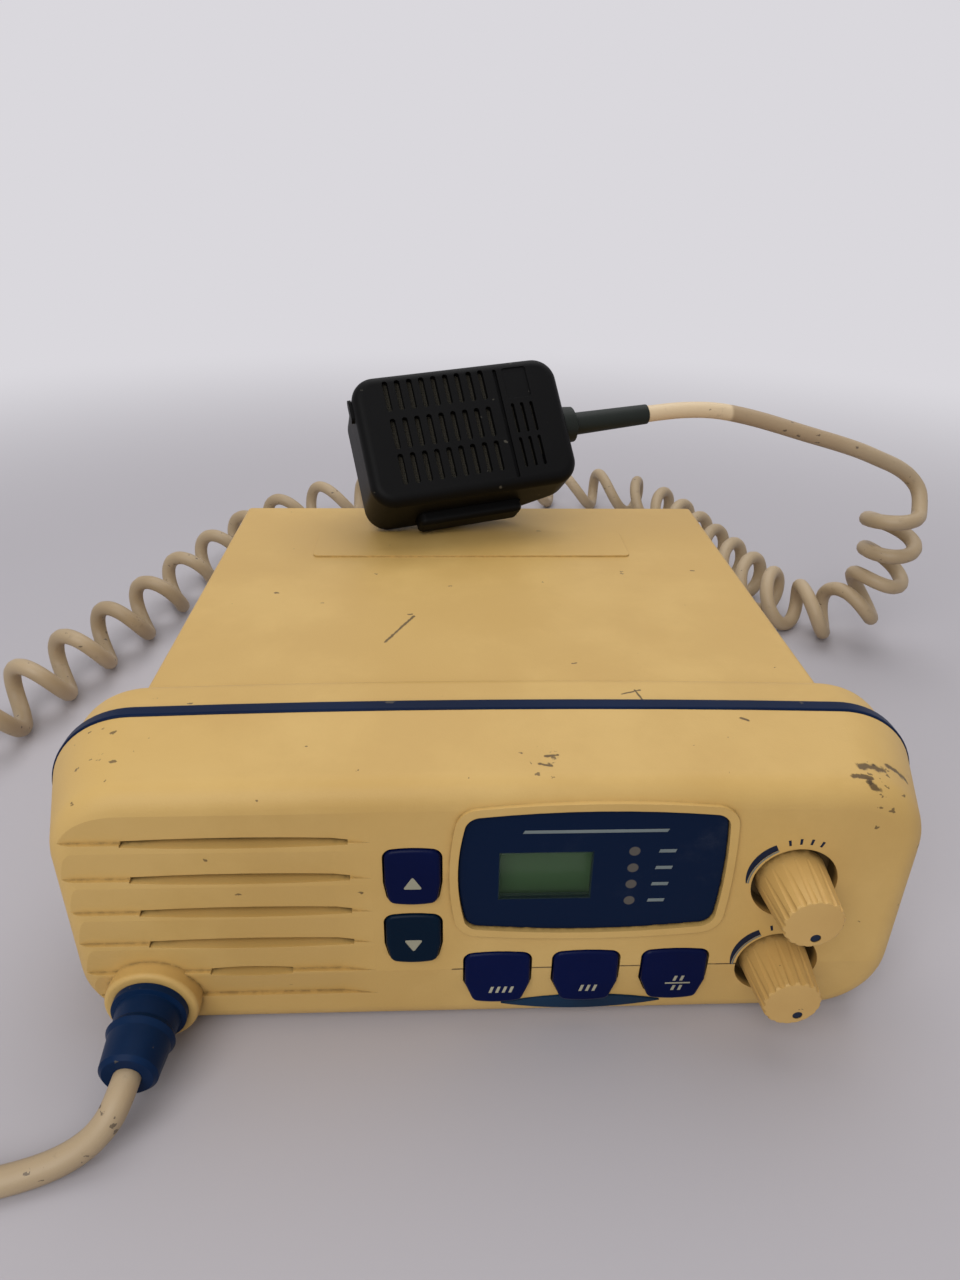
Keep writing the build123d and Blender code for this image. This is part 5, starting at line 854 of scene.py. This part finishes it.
def lay_mark(piece: bpy.types.Object, node: str, proud: float) -> None:
    """Lay a flat mark on a solid's front and give it a thickness.

    Args:
        piece: the mark, drawn in X and Z.
        node: the solid that it lies on.
        proud: how far it stands out of the solid, and how deep it goes in.
    """
    mesh = piece.data
    mesh.transform(piece.matrix_world)
    piece.matrix_world = Matrix.Identity(4)
    tree = surface_tree(node)
    for vertex in mesh.vertices:
        vertex.co.y = surface_y(tree, vertex.co.x, vertex.co.z) - proud
    choose_only(piece)
    bpy.ops.object.mode_set(mode="EDIT")
    bpy.ops.mesh.select_all(action="SELECT")
    bpy.ops.mesh.extrude_region_move(TRANSFORM_OT_translate={"value": (0.0, 2 * proud, 0.0)})
    bpy.ops.mesh.select_all(action="SELECT")
    bpy.ops.mesh.normals_make_consistent(inside=False)
    bpy.ops.object.mode_set(mode="OBJECT")


def flat_strip(steps: list[tuple[Vector, Vector]]) -> bpy.types.Object:
    """Make a strip in X and Z.

    Args:
        steps: pairs of places along it, one on each side.

    Returns:
        The strip.
    """
    bpy.ops.object.select_all(action="DESELECT")
    bpy.ops.mesh.primitive_grid_add(x_subdivisions=len(steps) - 1, y_subdivisions=1, size=1.0)
    piece = bpy.context.active_object
    order = sorted(piece.data.vertices, key=lambda vertex: (round(vertex.co.x, 5), vertex.co.y))
    for pair, low, high in zip(steps, order[0::2], order[1::2]):
        low.co = (pair[0].x, 0.0, pair[0].y)
        high.co = (pair[1].x, 0.0, pair[1].y)
    return piece


def slanted_bar(place: tuple[float, float], size: tuple[float, float], slant: float) -> bpy.types.Object:
    """Make a small bar whose ends slant as an italic stroke does.

    Args:
        place: the X and Z of its middle.
        size: its length and height.
        slant: how far its ends lean over, as a share of its height.

    Returns:
        The bar.
    """
    x, z = place
    length, height = size
    lean = slant * height / 2
    return flat_strip([(Vector((end - lean, z - height / 2)), Vector((end + lean, z + height / 2)))
                       for end in (x - length / 2, x + length / 2)])


def print_marks(name: str, marks: list[bpy.types.Object], finish: Finish, node: str,
                body: str = "radio", proud: float = 0.05 * MM) -> None:
    """Lay some flat marks on a solid's front, as one printed piece.

    Args:
        name: the piece's name.
        marks: the marks, drawn in X and Z.
        finish: the ink.
        node: the solid that they lie on.
        body: the body that they ride on.
        proud: how far they stand out of the solid.
    """
    for mark in marks:
        lay_mark(mark, node, proud)
    choose_only(marks[0])
    for mark in marks:
        mark.select_set(True)
    if len(marks) > 1:
        bpy.ops.object.join()
    marks[0].name = name
    finish_piece(marks[0], finish, body)


# ---------------------------------------------------------------- sub-assemblies
@dataclass
class FrontUnit:
    """Bezel, gasket and collar, what they hold, and the printed marks on them."""

    well_radius: float = 8.45 * MM
    crescent_gap: float = 0.95 * MM
    crescent_width: float = 1.45 * MM
    crescent_tip: float = 0.12       # width at the thin end, as a share of the full width
    crescent_swell: float = 0.62     # share of half a wave that the width follows
    crescent_line: tuple[float, float] = mm(-0.4, -0.14)  # pale line's edges, from the band's inner edge
    crescent_angles: tuple[float, float] = (178.0, 118.0)
    crescent_steps: int = 18
    tick_angles: tuple[float, ...] = (68.0, 80.0, 92.0, 104.0)
    tick_gap: float = 1.15 * MM
    tick_length: float = 1.3 * MM
    tick_width: float = 0.45 * MM
    rule_ends: tuple[float, float] = mm(5.0, 32.0)
    rule_heights: tuple[float, float] = mm(51.3, 52.0)
    rule_slant: float = 0.4 * MM
    dash_x: float = 32.6 * MM        # beside the highest lamp, and further left below it
    dash_drift: float = 0.09
    dash_size: tuple[float, float] = mm(3.2, 0.75)
    dash_slant: float = 0.3

    def build(self) -> None:
        """Dress the front unit."""
        paint(BEZEL_CREAM, "front_bezel")
        paint(CREAM, "rear_collar")
        paint(NAVY_RUBBER, "bezel_gasket")
        paint(NAVY_LENS, "display_lens")
        paint(NAVY_BADGE, "badge_plate")
        paint(NAVY_BOOT, "mic_cord_gland")
        paint(SCREEN, "lcd_panel")
        paint(WHITE_PLASTIC, "lcd_holder")
        paint(PIPE, "led_light_pipe")
        paint(CHIP, "indicator_leds")
        paint(BOARD, "front_circuit_board")
        paint(SILICONE, "keypad_mat")
        paint(STEEL, "front_screws", "gland_clip")
        for number, height in enumerate(KNOB_HEIGHTS, 1):
            self.crescent(number, height)
        for number, height in enumerate(KNOB_HEIGHTS, 1):
            self.ticks(number, height)
        self.lens_marks()

    def ring_place(self, height: float, radius: float, angle: float) -> Vector:
        """Find a place on a ring round a knob.

        Args:
            height: the knob's height.
            radius: the ring's radius.
            angle: degrees from the right, upwards.

        Returns:
            The place's X and Z.
        """
        turn = math.radians(angle)
        return Vector((KNOB_X + radius * math.cos(turn), height + radius * math.sin(turn)))

    def crescent(self, number: int, height: float) -> None:
        """Print the widening band beside a well, with a thin pale line inside it.

        Args:
            number: the knob's number, from the top.
            height: the knob's height.
        """
        inner = self.well_radius + self.crescent_gap
        start, end = self.crescent_angles
        band = []
        line = []
        for step in range(self.crescent_steps + 1):
            share = step / self.crescent_steps
            angle = start + (end - start) * share
            swell = math.sin(share * math.pi * self.crescent_swell)
            width = self.crescent_width * (self.crescent_tip + (1 - self.crescent_tip) * swell)
            band.append((self.ring_place(height, inner, angle),
                         self.ring_place(height, inner + width, angle)))
            line.append(tuple(self.ring_place(height, inner + lift, angle) for lift in self.crescent_line))
        for name, steps, ink in (("knob_band", band, BLUE_INK), ("knob_band_line", line, GREY_INK)):
            print_marks(f"{name}_{number}", [flat_strip(steps)], ink, "front_bezel")

    def ticks(self, number: int, height: float) -> None:
        """Print plain scale ticks over a well.

        Args:
            number: the knob's number, from the top.
            height: the knob's height.
        """
        inner = self.well_radius + self.tick_gap
        side = math.degrees(self.tick_width / 2 / inner)
        marks = []
        for angle in self.tick_angles:
            marks.append(flat_strip([(self.ring_place(height, inner, angle + turn),
                                      self.ring_place(height, inner + self.tick_length, angle + turn))
                                     for turn in (side, -side)]))
        print_marks(f"knob_ticks_{number}", marks, BLUE_INK, "front_bezel")

    def lens_marks(self) -> None:
        """Print a plain rule along the lens's top and a dash beside each lamp."""
        low, high = self.rule_heights
        rule = flat_strip([(Vector((x, low)), Vector((x + self.rule_slant, high))) for x in self.rule_ends])
        print_marks("lens_rule", [rule], GREY_INK, "display_lens")
        dashes = []
        for height in LAMP_HEIGHTS:
            x = self.dash_x - (LAMP_HEIGHTS[0] - height) * self.dash_drift
            dashes.append(slanted_bar((x, height), self.dash_size, self.dash_slant))
        print_marks("lens_dashes", dashes, GREY_INK, "display_lens")


@dataclass
class Keys:
    """The five keys with their plain marks."""

    triangle_side: float = 3.7 * MM
    triangle_rounding: float = 0.55 * MM
    triangle_flatness: float = 0.86
    triangle_places: dict = field(default_factory=lambda: {
        "channel_up": (-15.5 * MM, 40.4 * MM, 1.0), "channel_down": (-15.6 * MM, 25.4 * MM, -1.0)})
    # where each key's strokes have their middle, and how many they are
    stroke_places: dict = field(default_factory=lambda: {"left": (1.9 * MM, 4), "middle": (19.6 * MM, 3)})
    stroke_height: float = 12.6 * MM
    stroke_pitch: float = 1.35 * MM
    stroke_size: tuple[float, float] = mm(0.6, 1.5)
    slant: float = 0.35
    rule_place: tuple[float, float] = mm(38.0, 13.4)
    rule_size: tuple[float, float] = mm(5.2, 0.3)
    pair_shift: float = 0.7 * MM
    pair_lift: float = 1.2 * MM
    pair_steepness: float = 10.0     # rise for each step to the right, from stroke to stroke
    pair_share: float = 0.8          # height of these strokes, as a share of the others'
    proud: float = 0.06 * MM

    def build(self) -> None:
        """Dress the keys."""
        for body, (x, z, way) in self.triangle_places.items():
            paint(BLUE_KEY if way > 0 else TEAL_KEY, f"{body}_button")
            mark = self.triangle(x, z, way)
            print_marks(f"{body}_mark", [mark], WHITE_INK, f"{body}_button", body, self.proud)
        paint(BLUE_KEY, *(f"function_button_{side}" for side in ("left", "middle", "right")))
        for side, (x, count) in self.stroke_places.items():
            strokes = []
            for place in range(count):
                shift = (place - (count - 1) / 2) * self.stroke_pitch
                strokes.append(slanted_bar((x + shift, self.stroke_height), self.stroke_size, self.slant))
            self.print_strokes(side, strokes)
        x, z = self.rule_place
        width, height = self.stroke_size
        strokes = [slanted_bar(self.rule_place, self.rule_size, 0.0)]
        for shift in (-self.pair_shift, self.pair_shift):
            for lift in (self.pair_lift, -self.pair_lift):
                place = (x + shift + lift / self.pair_steepness, z + lift)
                strokes.append(slanted_bar(place, (width, height * self.pair_share), self.slant))
        self.print_strokes("right", strokes)

    def print_strokes(self, side: str, strokes: list[bpy.types.Object]) -> None:
        """Print a function key's strokes on it."""
        print_marks(f"function_{side}_mark", strokes, WHITE_INK, f"function_button_{side}",
                    f"function_{side}", self.proud)

    def triangle(self, x: float, z: float, way: float) -> bpy.types.Object:
        """Make a rounded triangle that points up or down.

        Args:
            x: where its middle lies, to the right.
            z: where its middle lies, upwards.
            way: 1 to point up, -1 to point down.

        Returns:
            The triangle, drawn in X and Z.
        """
        bpy.ops.object.select_all(action="DESELECT")
        radius = self.triangle_side / math.sqrt(3)
        bpy.ops.mesh.primitive_circle_add(vertices=3, radius=radius, fill_type="NGON")
        piece = bpy.context.active_object
        bpy.ops.object.mode_set(mode="EDIT")
        bpy.ops.mesh.select_all(action="SELECT")
        bpy.ops.mesh.bevel(offset=self.triangle_rounding, segments=5, affect="VERTICES")
        bpy.ops.object.mode_set(mode="OBJECT")
        for vertex in piece.data.vertices:
            vertex.co = (x + vertex.co.x, 0.0, z + way * vertex.co.y * self.triangle_flatness)
        return piece


@dataclass
class Knobs:
    """Two knobs, the paint in their pointers, and what they sit on."""

    leans: dict = field(default_factory=lambda: {"squelch": 15.0, "volume": 26.0})     # in degrees
    pointer_reach: float = 3.6 * MM
    dot_radius: float = 0.97 * MM
    dot_depth: float = 0.16 * MM
    dot_rounding: float = 0.05 * MM
    dimple_depth: float = 0.3 * MM

    def build(self) -> None:
        """Dress both knobs."""
        for (body, lean), height in zip(self.leans.items(), KNOB_HEIGHTS):
            paint(KNOB_CREAM, f"{body}_knob")
            paint(STEEL, f"{body}_shaft")
            paint(TINPLATE, f"{body}_control")
            self.dot(body, height, math.radians(lean))
        paint(NICKEL, "control_nuts")

    def dot(self, body: str, height: float, lean: float) -> None:
        """Fill a knob's pointer dimple with blue paint.

        Args:
            body: the knob's body.
            height: the knob's height.
            lean: how far the pointer is turned from straight down to the right, in radians.
        """
        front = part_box(f"{body}_knob")[0].y
        x = KNOB_X + self.pointer_reach * math.sin(lean)
        z = height - self.pointer_reach * math.cos(lean)
        bpy.ops.object.select_all(action="DESELECT")
        bpy.ops.mesh.primitive_cylinder_add(vertices=32, radius=self.dot_radius, depth=self.dot_depth)
        piece = bpy.context.active_object
        piece.name = f"{body}_pointer"
        bpy.ops.object.mode_set(mode="EDIT")
        bpy.ops.mesh.select_all(action="SELECT")
        bpy.ops.mesh.bevel(offset=self.dot_rounding, segments=2, affect="EDGES")
        bpy.ops.object.mode_set(mode="OBJECT")
        floor = front + self.dimple_depth
        turn = Matrix.Translation((x, floor - self.dot_depth / 2, z)) @ Matrix.Rotation(math.pi / 2, 4, "X")
        piece.data.transform(turn)
        finish_piece(piece, BLUE_INK, body)


@dataclass
class Housing:
    """Case, rear panel and sockets."""

    def build(self) -> None:
        """Dress the case and the rear panel."""
        paint(CREAM, "top_cover", "bottom_case")
        paint(BLACK_RUBBER, "power_grommet")
        paint(ALUMINIUM, "heat_sink")
        paint(STEEL, "case_screws", "panel_screws")
        paint(BRASS, "bracket_inserts", "antenna_contact")
        paint(NICKEL, "antenna_socket", "speaker_jack")


@dataclass
class Insides:
    """Speaker, main board and what stands on it."""

    def build(self) -> None:
        """Dress what is inside the case."""
        paint(CLOTH, "speaker_cloth")
        paint(PAPER, "speaker_cone")
        paint(MAGNET, "speaker_magnet")
        paint(STEEL, "speaker_frame", "speaker_screws", "board_screws")
        paint(BOARD, "main_circuit_board")
        paint(TINPLATE, "shield_can")
        paint(BLACK, "filter_capacitors", "rf_power_module")
        paint(RIBBON, "ribbon_cable")


@dataclass
class Microphone:
    """The fist microphone."""

    def build(self) -> None:
        """Dress the microphone's shells and what they hold."""
        paint(BLACK, "mic_front_shell", "mic_rear_shell", "mic_ptt_button", "mic_ptt_switch")
        paint(BLACK_RUBBER, "mic_strain_relief")
        paint(NICKEL, "mic_hang_button", "mic_capsule")
        paint(CLOTH, "mic_grille_cloth")
        paint(BOARD, "mic_circuit_board")
        paint(STEEL, "mic_screws")


@dataclass
class CurlyCord:
    """The cord from the gland over the ground, curly round the back, and up to the microphone."""

    radius: float = 2.6 * MM
    turn_radius: float = 8.4 * MM
    points_per_turn: int = 14
    turns: float = 29.06
    length: float = 2.0
    # share of the coil's length, and the pitch there in millimetres before it's fitted to the turns
    pitches: tuple[tuple[float, float], ...] = (
        (0.0, 25.0), (0.06, 20.5), (0.22, 25.0), (0.5, 26.0), (0.72, 18.0), (0.8, 16.0), (0.9, 14.0),
        (1.0, 14.0))
    # share of the coil's length, and how far a turn's side and its foot lie ahead there, in turn radii
    side_leans: tuple[tuple[float, float], ...] = (
        (0.0, -0.55), (0.25, -0.55), (0.45, 0.0), (0.6, 0.3), (0.8, 0.4), (0.9, 0.35), (1.0, 0.32))
    foot_leans: tuple[tuple[float, float], ...] = (
        (0.0, 0.32), (0.3, 0.32), (0.6, 0.4), (0.8, 0.55), (0.88, 0.3), (0.94, -0.3), (1.0, -0.36))
    # places on the cord's middle line, in millimetres
    lead: tuple[Place, ...] = (
        (-68.0, -110.116, 11.2), (-68.0, -116.3, 11.2), (-69.9, -120.0, 8.0), (-74.6, -122.4, 4.2),
        (-81.5, -125.0, 2.6), (-93.0, -127.8, 2.6), (-113.0, -126.5, 2.6), (-134.0, -117.0, 2.6),
        (-150.0, -99.0, 2.6), (-159.0, -76.0, 2.6), (-163.0, -52.0, 2.6), (-161.0, -34.0, 2.6),
        (-155.625, -18.5, 2.6))
    coil: tuple[Place, ...] = (
        (-151.5, -6.5, 11.0), (-146.0, 9.5, 11.0), (-141.0, 23.5, 11.0), (-135.5, 41.5, 11.0),
        (-129.0, 62.5, 11.0), (-122.0, 81.5, 11.0), (-117.2, 101.0, 11.0), (-111.0, 122.5, 11.0),
        (-106.5, 137.5, 11.0), (-98.0, 160.0, 11.0), (-88.0, 180.0, 11.0), (-76.0, 195.0, 11.0),
        (-58.0, 208.0, 11.0), (-32.0, 219.0, 11.0), (2.0, 225.5, 11.0), (36.0, 227.0, 11.0),
        (64.0, 224.5, 11.0), (84.0, 216.5, 11.0), (97.0, 199.0, 11.0), (105.0, 172.0, 11.0),
        (110.0, 143.0, 11.0), (116.5, 113.4, 11.0), (119.3, 97.7, 11.0), (126.0, 82.2, 11.0),
        (137.5, 75.5, 11.0), (148.5, 74.5, 16.0), (152.5, 73.0, 26.0), (152.5, 69.5, 38.0),
        (149.3, 66.3, 50.0), (147.3, 64.9, 58.3))
    tail: tuple[Place, ...] = (
        (51.886, 55.436, 91.423), (57.67, 56.97, 91.82), (67.0, 59.0, 92.4), (78.0, 60.4, 92.1),
        (89.5, 61.4, 89.8), (100.2, 61.9, 86.9), (110.5, 62.0, 83.9), (120.8, 62.5, 81.1),
        (130.6, 63.6, 78.0), (139.0, 65.2, 74.5), (146.4, 67.4, 71.4), (153.0, 69.2, 67.4),
        (157.0, 67.6, 62.6))

    def build(self) -> None:
        lead = [Vector(place) * MM for place in self.lead]
        tail = [Vector(place) * MM for place in reversed(self.tail)]
        cord = self.line("microphone_cord", lead + self.helix() + tail)
        cord.data.bevel_depth = self.radius
        cord.data.bevel_resolution = 4
        cord.data.resolution_u = 4
        cord.data.use_fill_caps = True
        finish_piece(cord, JACKET)
        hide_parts("mic_cord_lead", "mic_cord_coil", "mic_cord_tail")

    def line(self, name: str, places: list[Vector]) -> bpy.types.Object:
        """Make a smooth curve.

        Args:
            name: the curve's name.
            places: its control points.

        Returns:
            The curve's object.
        """
        curve = bpy.data.curves.new(name, "CURVE")
        curve.dimensions = "3D"
        spline = curve.splines.new("NURBS")
        spline.points.add(len(places) - 1)
        for point, place in zip(spline.points, places):
            point.co = (*place, 1.0)
        spline.order_u = 3
        spline.use_endpoint_u = True
        piece = bpy.data.objects.new(name, curve)
        bpy.context.collection.objects.link(piece)
        return piece

    def along(self, table: tuple[tuple[float, float], ...], share: float) -> float:
        """Read a table of values.

        Args:
            table: pairs of a share of the coil's length and the value there.
            share: where to read it.

        Returns:
            The value, blended between its neighbours.
        """
        for (from_share, from_value), (to_share, to_value) in zip(table, table[1:]):
            if share <= to_share:
                blend = (share - from_share) / (to_share - from_share)
                return from_value + (to_value - from_value) * blend
        return table[-1][1]

    def helix(self) -> list[Vector]:
        """Wind the wire round the coil's middle line, in turns that lean a little along it.

        Returns:
            The places that the wire passes, from the lead's end to the tail's.
        """
        route = self.line("coil_route", [Vector(place) * MM for place in self.coil])
        route.data.resolution_u = 24
        bpy.context.view_layer.update()
        mesh = bpy.data.meshes.new_from_object(route)
        middle = [vertex.co.copy() for vertex in mesh.vertices]
        bpy.data.objects.remove(route)
        bpy.data.meshes.remove(mesh)
        total = sum((b - a).length for a, b in zip(middle, middle[1:]))
        raw = [0.0]
        travelled = 0.0
        for a, b in zip(middle, middle[1:]):
            run = (b - a).length
            travelled += run
            raw.append(raw[-1] + run / (self.along(self.pitches, travelled / total) * MM))
        factor = self.turns / raw[-1]
        angles = [value * factor * 2 * math.pi for value in raw]
        up = Vector((0.0, 0.0, 1.0))
        ahead = (middle[1] - middle[0]).normalized()
        frames = []
        travelled = 0.0
        for number, place in enumerate(middle):
            nearby = middle[min(number + 1, len(middle) - 1)] - middle[max(number - 1, 0)]
            up = ahead.rotation_difference(nearby.normalized()) @ up
            ahead = nearby.normalized()
            travelled += (place - middle[max(number - 1, 0)]).length
            side = ahead.cross(up)
            side_lean = self.along(self.side_leans, travelled / total)
            foot_lean = self.along(self.foot_leans, travelled / total)
            frames.append((place, up - foot_lean * ahead, side + side_lean * ahead))
        step = 2 * math.pi / self.points_per_turn
        wound = []
        index = 0
        for number in range(int(angles[-1] / step) + 1):
            angle = number * step
            while index < len(angles) - 2 and angles[index + 1] < angle:
                index += 1
            share = (angle - angles[index]) / (angles[index + 1] - angles[index])
            place, up, side = (a.lerp(b, share) for a, b in zip(frames[index], frames[index + 1]))
            around = math.pi + angle
            wound.append(place + self.turn_radius * (up * math.cos(around) + side * math.sin(around)))
        return wound


@dataclass
class Studio:
    """Plain pale floor, soft light, and the camera."""

    # the camera looks down and to the right and leans to the left, by degrees
    eye: Place = mm(-9.448, -217.55, 159.19)
    down: float = 28.487
    heading: float = 2.723
    roll: float = 1.037
    lens: float = 24.44              # focal length and sensor in millimetres
    sensor: float = 36.0
    backdrop: Colour = field(default_factory=lambda: shade(218, 216, 221))
    paper: Colour = field(default_factory=lambda: shade(184, 180, 186))
    paper_reach: tuple[float, float] = (0.24, 0.7)           # where the backdrop begins and is complete
    ambient: float = 0.28
    lights: tuple[tuple[str, Place, float, float], ...] = (
        ("top_light", (0.1, 0.35, 0.95), 1.0, 5.2), ("front_light", (-0.35, -0.88, 0.8), 0.9, 8.0))
    aim: Place = (0.0, 0.0, 0.03)
    floor_size: float = 30.0

    def build(self) -> None:
        """Make the floor, the lights and the camera."""
        self.floor()
        for name, place, size, power in self.lights:
            self.light(name, place, size, power)
        self.world()
        self.camera()
        bpy.context.scene.view_settings.view_transform = "Standard"

    def floor(self) -> None:
        """Make the floor, which turns into the backdrop far from the radio."""
        bpy.ops.object.select_all(action="DESELECT")
        bpy.ops.mesh.primitive_plane_add(size=self.floor_size)
        plane = bpy.context.active_object
        plane.name = "studio_floor"
        material = bpy.data.materials.new("Studio paper")
        material.use_nodes = True
        material.node_tree.nodes.clear()
        w = Wiring(material.node_tree)
        shader = w.add("BsdfPrincipled", {"Base Color": self.paper, "Roughness": 0.8})
        seen = w.add("Emission", {"Color": self.backdrop, "Strength": 1.0})
        distance = w.measure("LENGTH", w.add("TexCoord").outputs["Object"])
        share = w.times(w.step(distance, *self.paper_reach), self.shown(w))
        both = w.add("MixShader", {0: share, 1: shader.outputs[0], 2: seen.outputs[0]})
        w.add("OutputMaterial", {0: both.outputs[0]})
        plane.data.materials.append(material)

    def shown(self, w: Wiring) -> bpy.types.NodeSocket:
        """Return 1 for rays that come from the camera, from a reflection or through glass."""
        rays = w.add("LightPath").outputs
        return w.math("MAXIMUM", rays["Is Camera Ray"],
                      w.math("MAXIMUM", rays["Is Glossy Ray"], rays["Is Transmission Ray"]))

    def light(self, name: str, place: Place, size: float, power: float) -> None:
        """Hang a square soft light that faces the radio.

        Args:
            name: the light's name.
            place: where it hangs.
            size: how wide it is.
            power: its power, in watts.
        """
        lamp = bpy.data.lights.new(name, "AREA")
        lamp.energy = power
        lamp.size = size
        piece = bpy.data.objects.new(name, lamp)
        piece.location = place
        piece.rotation_euler = (Vector(self.aim) - Vector(place)).to_track_quat("-Z", "Y").to_euler()
        bpy.context.collection.objects.link(piece)

    def world(self) -> None:
        """Show the backdrop to the camera and in reflections, and light softly from all round."""
        world = bpy.data.worlds.new("Studio")
        bpy.context.scene.world = world
        world.use_nodes = True
        w = Wiring(world.node_tree)
        world.node_tree.nodes.clear()
        lit = w.add("Background", {"Color": (1.0, 1.0, 1.0, 1.0), "Strength": self.ambient})
        seen = w.add("Background", {"Color": self.backdrop, "Strength": 1.0})
        both = w.add("MixShader", {0: self.shown(w), 1: lit.outputs[0], 2: seen.outputs[0]})
        w.add("OutputWorld", {0: both.outputs[0]})

    def camera(self) -> None:
        """Set up the camera."""
        data = bpy.data.cameras.new("camera")
        data.lens = self.lens
        data.sensor_width = self.sensor
        data.clip_start = 0.01
        camera = bpy.data.objects.new("camera", data)
        turn = (Matrix.Rotation(-math.radians(self.heading), 4, "Z")
                @ Matrix.Rotation(math.radians(90.0 - self.down), 4, "X")
                @ Matrix.Rotation(math.radians(self.roll), 4, "Z"))
        camera.matrix_world = Matrix.Translation(self.eye) @ turn
        bpy.context.collection.objects.link(camera)
        bpy.context.scene.camera = camera


def main() -> None:
    """Build the studio and dress the radio."""
    logging.basicConfig(level=logging.INFO, format="%(message)s")
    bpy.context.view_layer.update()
    for part in (Studio(), CurlyCord(), FrontUnit(), Keys(), Knobs(), Housing(), Insides(), Microphone()):
        part.build()


if __name__ == "__main__":
    main()
